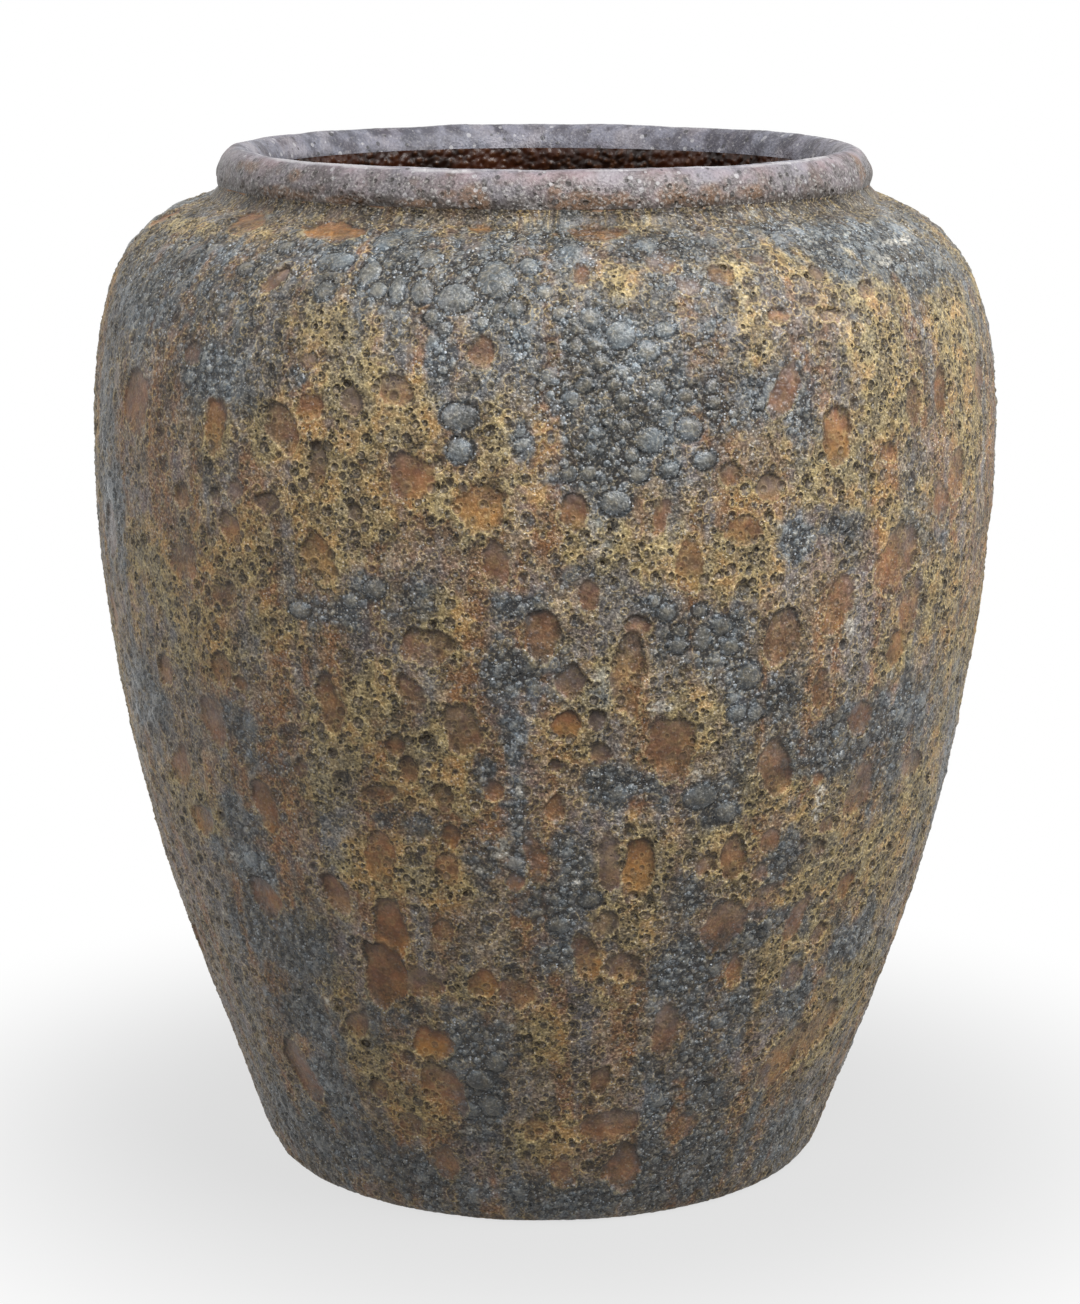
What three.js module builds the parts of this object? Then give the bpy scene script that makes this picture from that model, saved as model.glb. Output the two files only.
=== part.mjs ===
// A round stoneware jar planter with a rolled rim and a thick, cratered lava glaze.
// It is built as large jars are: a floor slab, stacked wall courses joined by ridge-and-groove seams,
// a neck ring, a rolled rim, and three separate coats of glaze.
// Units are millimetres, +Z is up, and the origin is on the ground, on the jar's axis.
import * as THREE from "three";

// Outer shape, over the glaze
const BELLY_DIAMETER = 710;
const BELLY_HEIGHT = 572; // ground to the widest point
const SHOULDER_RISE = 201; // widest point to the crease under the rim
const FOOT_DIAMETER = 444;
const MOUTH_DIAMETER = 447; // clear opening inside the rim
const RIM_WIDTH = 33;
const RIM_RISE = 37; // crease to the crest of the rim
const RIM_CROWN = 27; // height of the rim's rounded top

// Fullness of the outer curve: where each curve handle lies, as a share of the stretch it bends
const FLARE_OUT = 0.966;
const FLARE_UP = 0.557;
const BELLY_EASE_BELOW = 0.146;
const BELLY_EASE_ABOVE = 0.7;
const SHOULDER_OUT = 0.74;
const SHOULDER_DROP = 0.105;

// Clay
const WALL = 16;
const FLOOR_THICKNESS = 26;
const FOOT_RING_WIDTH = 46; // the flat ring that the jar stands on
const KICK_UP = 4; // hollow under the floor, inside the foot ring
const HEEL_BEVEL = 6; // bare bevel at the foot's edge
const DRAIN_DIAMETER = 38;
const COVE = 24; // legs of the coil pressed into the floor's corner
const THROAT_ROUND = 10;
const NECK_RING_WIDTH = 52; // along the wall
const TONGUE = 6; // height of the ridge on each seam

// Glaze
const BODY_GLAZE = 4;
const RIM_GLAZE = 2;
const LINER_GLAZE = 2;
const LINER_STOP = 19; // crest of the rim down to the liner's edge
const DRAIN_WIPE = 6; // bare ring round the drain hole

// Hand-made unevenness of the outer coat, a few long waves added together
const SWELL = 0.9; // height of the largest wave
const SWELL_RISE = 420; // its length up the wall
const SWELL_FADE = 70; // every wave dies out over this length at the foot and at the crease
const SWELL_WAVES = [
  { height: 1, round: 3, rise: 1, start: 0.1 },
  { height: 0.8, round: -5, rise: 0.7, start: 0.3 },
  { height: 0.55, round: 11, rise: 1.6, start: 0.8 },
  { height: 0.45, round: -17, rise: 2.1, start: 0.6 },
]; // height and rise as shares of the largest wave's, waves round the jar, start in turns

const JOINT_GAP = 0.3; // slip bed between neighbouring pieces

// Facets
const SEGMENTS = 40;
const COAT_SPLIT = 2; // facets of the outer coat's face to one of the clay's, both ways
const COURSE_NAMES = ["foot_course", "lower_course", "belly_course", "shoulder_course"];
const COURSE_STEPS = [2, 2, 3, 6]; // straight steps up each course, more where it curves more
const NECK_STEPS = 2;
const RIM_STEPS = 4; // on each side of the crest
const COVE_STEPS = 3;
const THROAT_STEPS = 3;

const bellyRadius = BELLY_DIAMETER / 2;
const footRadius = FOOT_DIAMETER / 2;
const mouthRadius = MOUTH_DIAMETER / 2;
const rimRadius = mouthRadius + RIM_WIDTH;
const creaseHeight = BELLY_HEIGHT + SHOULDER_RISE;
const crestHeight = creaseHeight + RIM_RISE;

// Depths of the layers, measured inwards from the outer curve
const wallOutside = BODY_GLAZE + JOINT_GAP;
const wallInside = wallOutside + WALL;
const wallMiddle = (wallOutside + wallInside) / 2;

const vec = (r, z) => new THREE.Vector2(r, z);
const moved = (point, direction, distance) => point.clone().addScaledVector(direction, distance);

// Evenly spaced values, both ends included
const spaced = (from, to, steps) =>
  Array.from({ length: steps + 1 }, (_, k) => THREE.MathUtils.lerp(from, to, k / steps));

// The outer curve, foot to crease, as radius and height
function outerCurve() {
  const flare = bellyRadius - footRadius;
  const overhang = bellyRadius - rimRadius;
  const belly = vec(bellyRadius, BELLY_HEIGHT);
  const curve = new THREE.CurvePath();
  curve.add(
    new THREE.CubicBezierCurve(
      vec(footRadius, 0),
      vec(footRadius + FLARE_OUT * flare, FLARE_UP * BELLY_HEIGHT),
      vec(bellyRadius, BELLY_HEIGHT * (1 - BELLY_EASE_BELOW)),
      belly,
    ),
  );
  curve.add(
    new THREE.CubicBezierCurve(
      belly,
      vec(bellyRadius, BELLY_HEIGHT + BELLY_EASE_ABOVE * SHOULDER_RISE),
      vec(rimRadius + SHOULDER_OUT * overhang, creaseHeight - SHOULDER_DROP * SHOULDER_RISE),
      vec(rimRadius, creaseHeight),
    ),
  );
  return curve;
}

const outer = outerCurve();
const outerLength = outer.getLength();

// A station is a place on the outer curve with its direction up the wall and into the wall
function stationAt(length) {
  const along = THREE.MathUtils.clamp(length / outerLength, 0, 1);
  const up = outer.getTangent(along);
  return { length, point: outer.getPoint(along), up, inward: vec(-up.y, up.x) };
}

const at = (station, depth) => moved(station.point, station.inward, depth);

// The station whose layer at the given depth lies at the given height
function stationAtHeight(depth, height) {
  let low = 0;
  let high = outerLength;
  for (let step = 0; step < 60; step += 1) {
    const middle = (low + high) / 2;
    if (at(stationAt(middle), depth).y < height) low = middle;
    else high = middle;
  }
  return stationAt(low);
}

const heel = stationAtHeight(wallOutside, HEEL_BEVEL);
const seat = stationAtHeight(wallInside, FLOOR_THICKNESS);

// Stations up the wall: each course shares its last one with the next course
const courseLength = (outerLength - NECK_RING_WIDTH - seat.length) / COURSE_NAMES.length;
const courses = COURSE_STEPS.map((steps, index) => {
  const start = seat.length + index * courseLength;
  return spaced(start, start + courseLength, steps).map(stationAt);
});
const neckStations = spaced(outerLength - NECK_RING_WIDTH, outerLength, NECK_STEPS).map(stationAt);
const wallStations = [seat, ...courses.flatMap((course) => course.slice(1)), ...neckStations.slice(1)];
const crease = wallStations.at(-1);

// A seam across the wall: outer edge, crest of the ridge, inner edge
function seamAcross(station, lift) {
  const raised = (depth, height) => moved(at(station, depth), station.up, height);
  return [
    raised(wallOutside, lift),
    raised(wallMiddle, lift + TONGUE),
    raised(wallInside, lift),
  ];
}

// One course of the wall, between the seams under and over it
function wallCourse(stations) {
  const inner = stations.slice(1, -1);
  const bottom = seamAcross(stations[0], JOINT_GAP);
  const top = seamAcross(stations.at(-1), 0);
  return [
    ...bottom.toReversed(),
    ...inner.map((s) => at(s, wallOutside)),
    ...top,
    ...inner.toReversed().map((s) => at(s, wallInside)),
  ];
}

// The floor slab: drain hole, hollow underside, foot ring, bevelled heel and the seat for the wall
function floorSlab() {
  const drain = DRAIN_DIAMETER / 2;
  const edge = at(heel, wallOutside);
  const footOuter = edge.x - HEEL_BEVEL;
  const footInner = footOuter - FOOT_RING_WIDTH;
  return [
    vec(drain, KICK_UP),
    vec(footInner, KICK_UP),
    vec(footInner, 0),
    vec(footOuter, 0),
    edge,
    ...seamAcross(seat, 0),
    vec(drain, FLOOR_THICKNESS),
  ];
}

// The coil in the corner: its legs lie on the floor and on the wall, and its face is hollow.
// The wall's leg follows the straight step above the seat.
const floorTop = FLOOR_THICKNESS + JOINT_GAP;
const cornerLow = at(seat, wallInside + JOINT_GAP);
const cornerHigh = at(wallStations[1], wallInside + JOINT_GAP);
const wallLine = cornerHigh.clone().sub(cornerLow).normalize();
const coveCorner = moved(cornerLow, wallLine, (floorTop - cornerLow.y) / wallLine.y);
const coveFace = new THREE.QuadraticBezierCurve(
  vec(coveCorner.x - COVE, floorTop),
  coveCorner,
  moved(coveCorner, wallLine, COVE),
);

// The throat: the underside of the neck turns up into the mouth round a soft edge
const throatRadius = mouthRadius + LINER_GLAZE + JOINT_GAP;
const rimSeatHeight = at(crease, wallOutside).y;
const underNeck = at(crease, wallInside);
const throatEdge = moved(underNeck, crease.up, (throatRadius - underNeck.x) / crease.up.x);
const throatRound = Math.min(THROAT_ROUND, (rimSeatHeight - throatEdge.y) / 2);
const throatFace = new THREE.QuadraticBezierCurve(
  moved(throatEdge, crease.up, -throatRound),
  throatEdge,
  vec(throatRadius, throatEdge.y + throatRound),
);

// The joint between neck and rim, as a seam across the flat seat
const underRimGlaze = RIM_GLAZE + JOINT_GAP;

function rimSeam(lift) {
  const outside = rimRadius - underRimGlaze;
  return [
    vec(outside, rimSeatHeight + lift),
    vec((outside + throatRadius) / 2, rimSeatHeight + TONGUE + lift),
    vec(throatRadius, rimSeatHeight + lift),
  ];
}

function neckRing() {
  const inner = neckStations.slice(1);
  return [
    ...seamAcross(neckStations[0], JOINT_GAP).toReversed(),
    ...inner.map((s) => at(s, wallOutside)),
    ...rimSeam(0),
    ...throatFace.getPoints(THROAT_STEPS).toReversed(),
    ...inner.toReversed().map((s) => at(s, wallInside)),
  ];
}

// The rim's outline is an oval crown on upright sides. An angle of 0 is its outer side.
const crownCentre = vec(mouthRadius + RIM_WIDTH / 2, crestHeight - RIM_CROWN);

function crownPoint(angle, depth) {
  const across = RIM_WIDTH / 2;
  const point = vec(across * Math.cos(angle), RIM_CROWN * Math.sin(angle)).add(crownCentre);
  const outward = vec(Math.cos(angle) / across, Math.sin(angle) / RIM_CROWN).normalize();
  return moved(point, outward, -depth);
}

const crownAngle = (below) => Math.PI - Math.asin((RIM_CROWN - below) / RIM_CROWN);
const glazeStop = crownAngle(LINER_STOP);
const linerStop = crownAngle(LINER_STOP + JOINT_GAP);
const crest = Math.PI / 2;
const crownAngles = [
  ...spaced(0, crest, RIM_STEPS),
  ...spaced(crest, glazeStop, RIM_STEPS).slice(1),
];

function rimRoll() {
  const [outside, ridge, inside] = rimSeam(JOINT_GAP);
  return [
    outside,
    ...crownAngles.map((angle) => crownPoint(angle, underRimGlaze)),
    crownPoint(Math.PI, LINER_GLAZE + JOINT_GAP),
    inside,
    ridge,
  ];
}

function rimGlaze() {
  const foot = creaseHeight + JOINT_GAP;
  return [
    vec(rimRadius, foot),
    ...crownAngles.map((angle) => crownPoint(angle, 0)),
    ...crownAngles.toReversed().map((angle) => crownPoint(angle, RIM_GLAZE)),
    vec(rimRadius - RIM_GLAZE, foot),
  ];
}

// How far the outer coat stands out at an angle round the jar and a length up the wall
function swell(angle, length) {
  const fromEnd = Math.min(length - heel.length, crease.length - length);
  const waves = SWELL_WAVES.map(({ height, round, rise, start }) => {
    const turns = length / (rise * SWELL_RISE) + start;
    return height * Math.sin(round * angle + 2 * Math.PI * turns);
  });
  const sum = waves.reduce((total, wave) => total + wave, 0);
  return SWELL * THREE.MathUtils.smoothstep(fromEnd, 0, SWELL_FADE) * sum;
}

// A ring of points round LatheGeometry's axis, with the outline's place at each angle
function ringOf(count, placeAt) {
  return Array.from({ length: count }, (_, k) => {
    const angle = (2 * Math.PI * k) / count;
    const place = placeAt(angle);
    return new THREE.Vector3(place.x * Math.sin(angle), place.y, place.x * Math.cos(angle));
  });
}

// The body coat's outer face swells, so it has finer facets than its inner face, which follows the clay's
function bodyGlazeRings() {
  const stations = [heel, ...wallStations];
  const finer = stations.slice(1).flatMap((station, index) => {
    return spaced(stations[index].length, station.length, COAT_SPLIT).slice(1).map(stationAt);
  });
  const face = (station) => (angle) => at(station, -swell(angle, station.length));
  const outerRings = [heel, ...finer].map((s) => ringOf(SEGMENTS * COAT_SPLIT, face(s)));
  const innerRings = stations.map((s) => ringOf(SEGMENTS, () => at(s, BODY_GLAZE)));
  return [...outerRings, ...innerRings.toReversed()];
}

// The liner coats the floor, the coil's face, the wall, the throat and the inside of the rim
function linerGlaze() {
  const floorStart = DRAIN_DIAMETER / 2 + DRAIN_WIPE;
  const upward = vec(0, 1);
  const faceNormal = (curve, t) => {
    const along = curve.getTangent(t);
    return vec(-along.y, along.x);
  };
  const alongFace = (curve, steps) =>
    spaced(0, 1, steps).map((t) => ({ point: curve.getPoint(t), into: faceNormal(curve, t) }));
  const surface = [
    { point: vec(floorStart, floorTop), into: upward },
    ...alongFace(coveFace, COVE_STEPS),
    ...wallStations.slice(1).map((s) => ({ point: at(s, wallInside), into: s.inward })),
    ...alongFace(throatFace, THROAT_STEPS),
    { point: crownPoint(Math.PI, LINER_GLAZE + JOINT_GAP), into: vec(-1, 0) },
  ];
  const coat = (depth) => surface.map(({ point, into }) => moved(point, into, depth));
  return [
    ...coat(JOINT_GAP + LINER_GLAZE),
    crownPoint(linerStop, 0),
    crownPoint(linerStop, LINER_GLAZE),
    ...coat(JOINT_GAP).toReversed(),
  ].toReversed();
}

// Finishes: bare stoneware, foamed lava glaze, dry mauve-grey rim glaze and glossy brown liner
const stoneware = new THREE.MeshStandardMaterial({ color: 0x9a7b62, roughness: 0.9, metalness: 0 });
const lavaGlaze = new THREE.MeshStandardMaterial({ color: 0x6a6152, roughness: 0.7, metalness: 0 });
const dryGlaze = new THREE.MeshStandardMaterial({ color: 0x7d7173, roughness: 0.75, metalness: 0 });
const brownGlaze = new THREE.MeshStandardMaterial({ color: 0x3b2517, roughness: 0.35, metalness: 0 });

// A ring turned from its closed outline round the upright axis
function turned(name, outline, material) {
  const geometry = new THREE.LatheGeometry([...outline, outline[0]], SEGMENTS);
  const mesh = new THREE.Mesh(geometry, material);
  mesh.name = name;
  return mesh;
}

// A closed body from rings of points that follow each other round its section. Neighbouring rings may differ
// in their count, so the strip between them steps along whichever ring lags behind.
function zipped(name, rings, material) {
  const starts = [];
  const points = [];
  for (const ring of rings) {
    starts.push(points.length);
    points.push(...ring);
  }
  const triangles = [];
  rings.forEach((ring, index) => {
    const next = (index + 1) % rings.length;
    const here = (k) => starts[index] + (k % ring.length);
    const there = (k) => starts[next] + (k % rings[next].length);
    let a = 0;
    let b = 0;
    while (a < ring.length || b < rings[next].length) {
      if ((a + 0.5) / ring.length <= (b + 0.5) / rings[next].length) {
        triangles.push(here(a), here(a + 1), there(b));
        a += 1;
      } else {
        triangles.push(here(a), there(b + 1), there(b));
        b += 1;
      }
    }
  });
  const geometry = new THREE.BufferGeometry().setFromPoints(points).setIndex(triangles);
  geometry.computeVertexNormals();
  const mesh = new THREE.Mesh(geometry, material);
  mesh.name = name;
  return mesh;
}

// LatheGeometry turns about +Y, so the group stands it up on +Z
const jar = new THREE.Group();
jar.rotation.x = Math.PI / 2;
jar.add(turned("floor_slab", floorSlab(), stoneware));
jar.add(turned("cove_coil", [coveCorner, ...coveFace.getPoints(COVE_STEPS).toReversed()], stoneware));
courses.forEach((stations, index) => jar.add(turned(COURSE_NAMES[index], wallCourse(stations), stoneware)));
jar.add(turned("neck_ring", neckRing(), stoneware));
jar.add(turned("rim_roll", rimRoll(), stoneware));
jar.add(zipped("body_glaze", bodyGlazeRings(), lavaGlaze));
jar.add(turned("rim_glaze", rimGlaze(), dryGlaze));
jar.add(turned("liner_glaze", linerGlaze(), brownGlaze));

const planter = new THREE.Group();
planter.add(jar);

export default planter;
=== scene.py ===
# %% [markdown]
# # A jar planter under a lava glaze
# The object is a tall stoneware jar with a rolled rim. What the eye sees is almost all glaze: a thick
# coat that foamed in the kiln and froze with burst bubbles, flat hollows and pebbly crusts. So this
# lesson spends most of its cells on one surface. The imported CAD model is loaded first, because every new
# piece has to sit on it.

import math

import bmesh
import bpy
import mathutils
import numpy as np
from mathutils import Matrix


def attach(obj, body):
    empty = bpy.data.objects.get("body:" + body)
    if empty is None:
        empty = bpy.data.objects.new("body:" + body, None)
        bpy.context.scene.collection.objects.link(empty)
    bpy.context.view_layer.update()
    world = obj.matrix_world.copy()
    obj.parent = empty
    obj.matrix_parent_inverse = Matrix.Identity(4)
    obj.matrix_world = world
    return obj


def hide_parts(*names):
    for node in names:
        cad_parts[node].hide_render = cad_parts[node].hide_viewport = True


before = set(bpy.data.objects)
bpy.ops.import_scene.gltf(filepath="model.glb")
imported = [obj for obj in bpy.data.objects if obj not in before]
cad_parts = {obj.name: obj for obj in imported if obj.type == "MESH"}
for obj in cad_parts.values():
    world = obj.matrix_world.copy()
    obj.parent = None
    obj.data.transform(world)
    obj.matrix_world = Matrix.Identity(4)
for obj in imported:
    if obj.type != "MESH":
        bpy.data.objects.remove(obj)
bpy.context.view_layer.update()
scene = bpy.context.scene
scene.view_settings.view_transform = "Standard"
print("nodes:", sorted(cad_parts))

# %% [markdown]
# ## The jar's outline
# A thrown jar is a turned shape, so one curve says it all: radius and height, from the foot to the crease
# under the rim. The numbers are the CAD model's own, in millimetres. Two Bezier curves meet at the belly,
# and a small hollow fillet, where glaze pools under the rim, ends the curve.

# %% Trace the outline of the body
MM = 0.001
FOOT_RADIUS = 222.0
BELLY_RADIUS = 355.0
BELLY_HEIGHT = 572.0
SHOULDER_RISE = 201.0
MOUTH_RADIUS = 223.5
RIM_WIDTH = 33.0
RIM_RISE = 37.0
RIM_CROWN = 27.0
RIM_RADIUS = MOUTH_RADIUS + RIM_WIDTH
CREASE_HEIGHT = BELLY_HEIGHT + SHOULDER_RISE
CREST_HEIGHT = CREASE_HEIGHT + RIM_RISE
CREASE_FILLET = 11.0
CREASE_RISE = 9.0
HEEL_ROUND = 3.0
HEEL_LIFT = 0.8


def bezier(points, count):
    """Points along a quadratic or cubic Bezier curve."""
    points = np.array(points, float)
    t = np.linspace(0, 1, count)[:, None]
    while len(points) > 1:
        points = [a + (b - a) * t for a, b in zip(points, points[1:])]
    return points[0]


def even(points, count):
    """The same path with evenly spaced points, and the distance along it of each one."""
    steps = np.hypot(*np.diff(points, axis=0).T)
    length = np.concatenate([[0], np.cumsum(steps)])
    along = np.linspace(0, length[-1], count)
    return np.stack([np.interp(along, length, points[:, k]) for k in (0, 1)], axis=1), along


flare = BELLY_RADIUS - FOOT_RADIUS
overhang = BELLY_RADIUS - RIM_RADIUS
below_belly = bezier(
    [
        (FOOT_RADIUS, 0),
        (FOOT_RADIUS + 0.966 * flare, 0.557 * BELLY_HEIGHT),
        (BELLY_RADIUS, 0.854 * BELLY_HEIGHT),
        (BELLY_RADIUS, BELLY_HEIGHT),
    ],
    400,
)
above_belly = bezier(
    [
        (BELLY_RADIUS, BELLY_HEIGHT),
        (BELLY_RADIUS, BELLY_HEIGHT + 0.7 * SHOULDER_RISE),
        (RIM_RADIUS + 0.74 * overhang, CREASE_HEIGHT - 0.105 * SHOULDER_RISE),
        (RIM_RADIUS, CREASE_HEIGHT),
    ],
    400,
)
wall = np.concatenate([below_belly, above_belly[1:]])
heel_end = wall[9]
heel = bezier([(FOOT_RADIUS - HEEL_ROUND, HEEL_LIFT), (FOOT_RADIUS, HEEL_LIFT), heel_end], 12)
shoulder_end = wall[wall[:, 0] > RIM_RADIUS + CREASE_FILLET]
shoulder_end = shoulder_end[shoulder_end[:, 1] > heel_end[1]]
fillet_end = (RIM_RADIUS, CREASE_HEIGHT + CREASE_RISE)
fillet = bezier([shoulder_end[-1], (RIM_RADIUS, CREASE_HEIGHT), fillet_end], 24)
body_path = np.concatenate([heel, shoulder_end[1:], fillet[1:]])

BANDS = 8
BAND_ROWS = 70
RIM_ROWS = 44
COLUMNS = 1200
BODY_ROWS = BANDS * BAND_ROWS + 1
body_outline, body_along = even(body_path, BODY_ROWS)
print("body outline", round(body_along[-1]), "mm long")
print(BODY_ROWS, "rows", round(body_along[1], 2), "mm apart")

# %% Carry the outline over the rim
RIM_CENTRE = (MOUTH_RADIUS + RIM_WIDTH / 2, CREST_HEIGHT - RIM_CROWN)
LINER_DROP = 19
LINER_START = CREST_HEIGHT - LINER_DROP
last_turn = math.pi - math.asin((LINER_START - RIM_CENTRE[1]) / RIM_CROWN)
turn = np.linspace(0, last_turn, 200)
crown = np.stack(
    [RIM_CENTRE[0] + RIM_WIDTH / 2 * np.cos(turn), RIM_CENTRE[1] + RIM_CROWN * np.sin(turn)], axis=1
)
rim_outline, rim_along = even(np.concatenate([body_outline[-1:], crown]), RIM_ROWS + 1)
outline = np.concatenate([body_outline, rim_outline[1:]])
along = np.concatenate([body_along, body_along[-1] + rim_along[1:]])
RIM_START = body_along[-1]
print("rim outline", round(rim_along[-1]), "mm long")
print(RIM_ROWS, "rows", round(rim_along[1], 2), "mm apart")

# %% [markdown]
# ## Noise that wraps round the jar
# The glaze is drawn on a map of the outside: `around` is the distance round the jar and `up` is the
# distance up the wall. The front of the jar is at 0, and the map has to join itself at the back, so the
# noise below repeats after one turn. It uses whole-number arithmetic for its random numbers, so each run
# gives the same jar.

# %% Make the map and its noise
MAP_RADIUS = 300.0
TURN = 2 * math.pi * MAP_RADIUS
phi = np.arange(COLUMNS) * 2 * math.pi / COLUMNS
around, up = np.meshgrid(phi * MAP_RADIUS, along)
stretch = outline[:, :1] / MAP_RADIUS


def hashed(ix, iy, seed):
    """A repeatable random number from 0 to 1 for each pair of whole numbers."""
    mixed = (ix * 374761393 + iy * 668265263 + seed * 974634777) & 0xFFFFFFFF
    mixed = ((mixed ^ (mixed >> 13)) * 1274126177) & 0xFFFFFFFF
    mixed = ((mixed ^ (mixed >> 15)) * 2246822519) & 0xFFFFFFFF
    return ((mixed ^ (mixed >> 16)) & 0xFFFFFF) / 0xFFFFFF


def smooth(low, high, value):
    """0 below low, 1 above high and an S-shaped ramp between."""
    t = np.clip((value - low) / (high - low), 0, 1)
    return t * t * (3 - 2 * t)


def noise(u, v, width, height, seed):
    """Smooth noise from -1 to 1, with bumps of about the given width and height in millimetres."""
    cells = round(TURN / width)
    x, y = u / TURN * cells, v / height
    ix, iy = np.floor(x).astype(np.int64), np.floor(y).astype(np.int64)
    fx, fy = smooth(0, 1, x - ix), smooth(0, 1, y - iy)
    low = hashed(ix % cells, iy, seed) * (1 - fx) + hashed((ix + 1) % cells, iy, seed) * fx
    high = hashed(ix % cells, iy + 1, seed) * (1 - fx) + hashed((ix + 1) % cells, iy + 1, seed) * fx
    return 2 * (low * (1 - fy) + high * fy) - 1


def scattered(u, v, wide, spacing, seed):
    """For every point, its offset in millimetres from nine nearby random spots, and the spots' numbers."""
    cells = round(TURN / spacing)
    x, y = u / TURN * cells, v / spacing
    ix, iy = np.floor(x).astype(np.int64), np.floor(y).astype(np.int64)
    for step_x in (-1, 0, 1):
        for step_y in (-1, 0, 1):
            cx, cy = ix + step_x, iy + step_y
            spot = (cx % cells, cy)
            du = (x - cx - 0.1 - 0.8 * hashed(*spot, seed)) * TURN / cells * wide
            dv = (y - cy - 0.1 - 0.8 * hashed(*spot, seed + 1)) * spacing
            yield du, dv, spot


def blurred(field, size):
    """The field with everything smaller than about the given size smoothed away."""
    fy = np.fft.fftfreq(field.shape[0], along[1])[:, None]
    fx = np.fft.rfftfreq(field.shape[1], TURN / field.shape[1])
    keep = np.exp(-2 * (math.pi * size / 2) ** 2 * (fx * fx + fy * fy))
    return np.fft.irfft2(np.fft.rfft2(field) * keep, s=field.shape)


print("map", around.shape, "one turn is", round(TURN), "mm")

# %% [markdown]
# ## From the photograph to the jar
# The large marks of the glaze are read off the photograph, as places in its 1080 by 1304 frame.
# The camera that took it stood a little above the rim. A ray from that camera through a mark's place
# meets the jar at the mark's true place on the map, and the same camera takes the picture at the end.

# %% Set up the camera and its rays
FRAME_WIDTH = 1080
FRAME_HEIGHT = 1304
FOCAL_PIXELS = 3467.0
SENSOR_MM = 36.0
CAMERA_PLACE = np.array([-0.0032, -2.741, 1.007])
CAMERA_PITCH = math.radians(12.44)
RAY_START = 2.2
RAY_END = 3.2
RAY_STEP = 0.001

camera_data = bpy.data.cameras.new("camera")
camera_data.sensor_width = SENSOR_MM
camera_data.lens = FOCAL_PIXELS * SENSOR_MM / FRAME_HEIGHT
camera = bpy.data.objects.new("camera", camera_data)
camera.location = CAMERA_PLACE
camera.rotation_euler = (math.pi / 2 - CAMERA_PITCH, 0, 0)
scene.collection.objects.link(camera)
scene.camera = camera


def on_jar(x, y):
    """Where the ray through a place in the photograph meets the jar, as a place on the map."""
    x, y = np.atleast_1d(x).astype(float), np.atleast_1d(y).astype(float)
    right, rise = (x - FRAME_WIDTH / 2) / FOCAL_PIXELS, (FRAME_HEIGHT / 2 - y) / FOCAL_PIXELS
    cos, sin = math.cos(CAMERA_PITCH), math.sin(CAMERA_PITCH)
    direction = np.stack([right, cos + rise * sin, rise * cos - sin])
    reach = np.arange(RAY_START, RAY_END, RAY_STEP)
    px, py, pz = CAMERA_PLACE[:, None, None] + direction[:, :, None] * reach
    distance = np.hypot(px, py) - np.interp(pz / MM, body_outline[:, 1], body_outline[:, 0]) * MM
    first = np.where((distance < 0).any(1), (distance < 0).argmax(1), distance.argmin(1))
    pick = np.arange(len(first))
    angle = np.arctan2(px[pick, first], -py[pick, first])
    return angle * MAP_RADIUS, np.interp(pz[pick, first] / MM, body_outline[:, 1], body_along)


def placed(marks):
    """Marks as seen in the photograph, x, y, half width and half height, as marks on the map."""
    x, y, half_x, half_y = np.array([mark[:4] for mark in marks], float).T
    u, v = on_jar(x, y)
    half_u = (on_jar(x + half_x, y)[0] - on_jar(x - half_x, y)[0]) / 2
    half_v = (on_jar(x, y - half_y)[1] - on_jar(x, y + half_y)[1]) / 2
    return np.stack([u, v, half_u, half_v], axis=1)


SHOULDER_MIDDLE = (544, 260)
shoulder_place = [round(float(k[0])) for k in on_jar(*SHOULDER_MIDDLE)]
print("the middle of the shoulder is at", shoulder_place, "on the map")

# %% [markdown]
# ## Crusts and foams
# Two things happened to the coat as it melted. Where it was rich in iron and manganese it boiled into a
# slate-grey crust of round bubbles. Where it was rich in titanium it frothed into a mustard foam full of
# pinholes. Smoke from the kiln darkened some of it, and some has a pale blue bloom. Each list gives the
# patches that the photograph shows, and noise frays their edges. The back, which the photograph doesn't
# show, gets patches from noise alone, of the same sizes.

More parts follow.
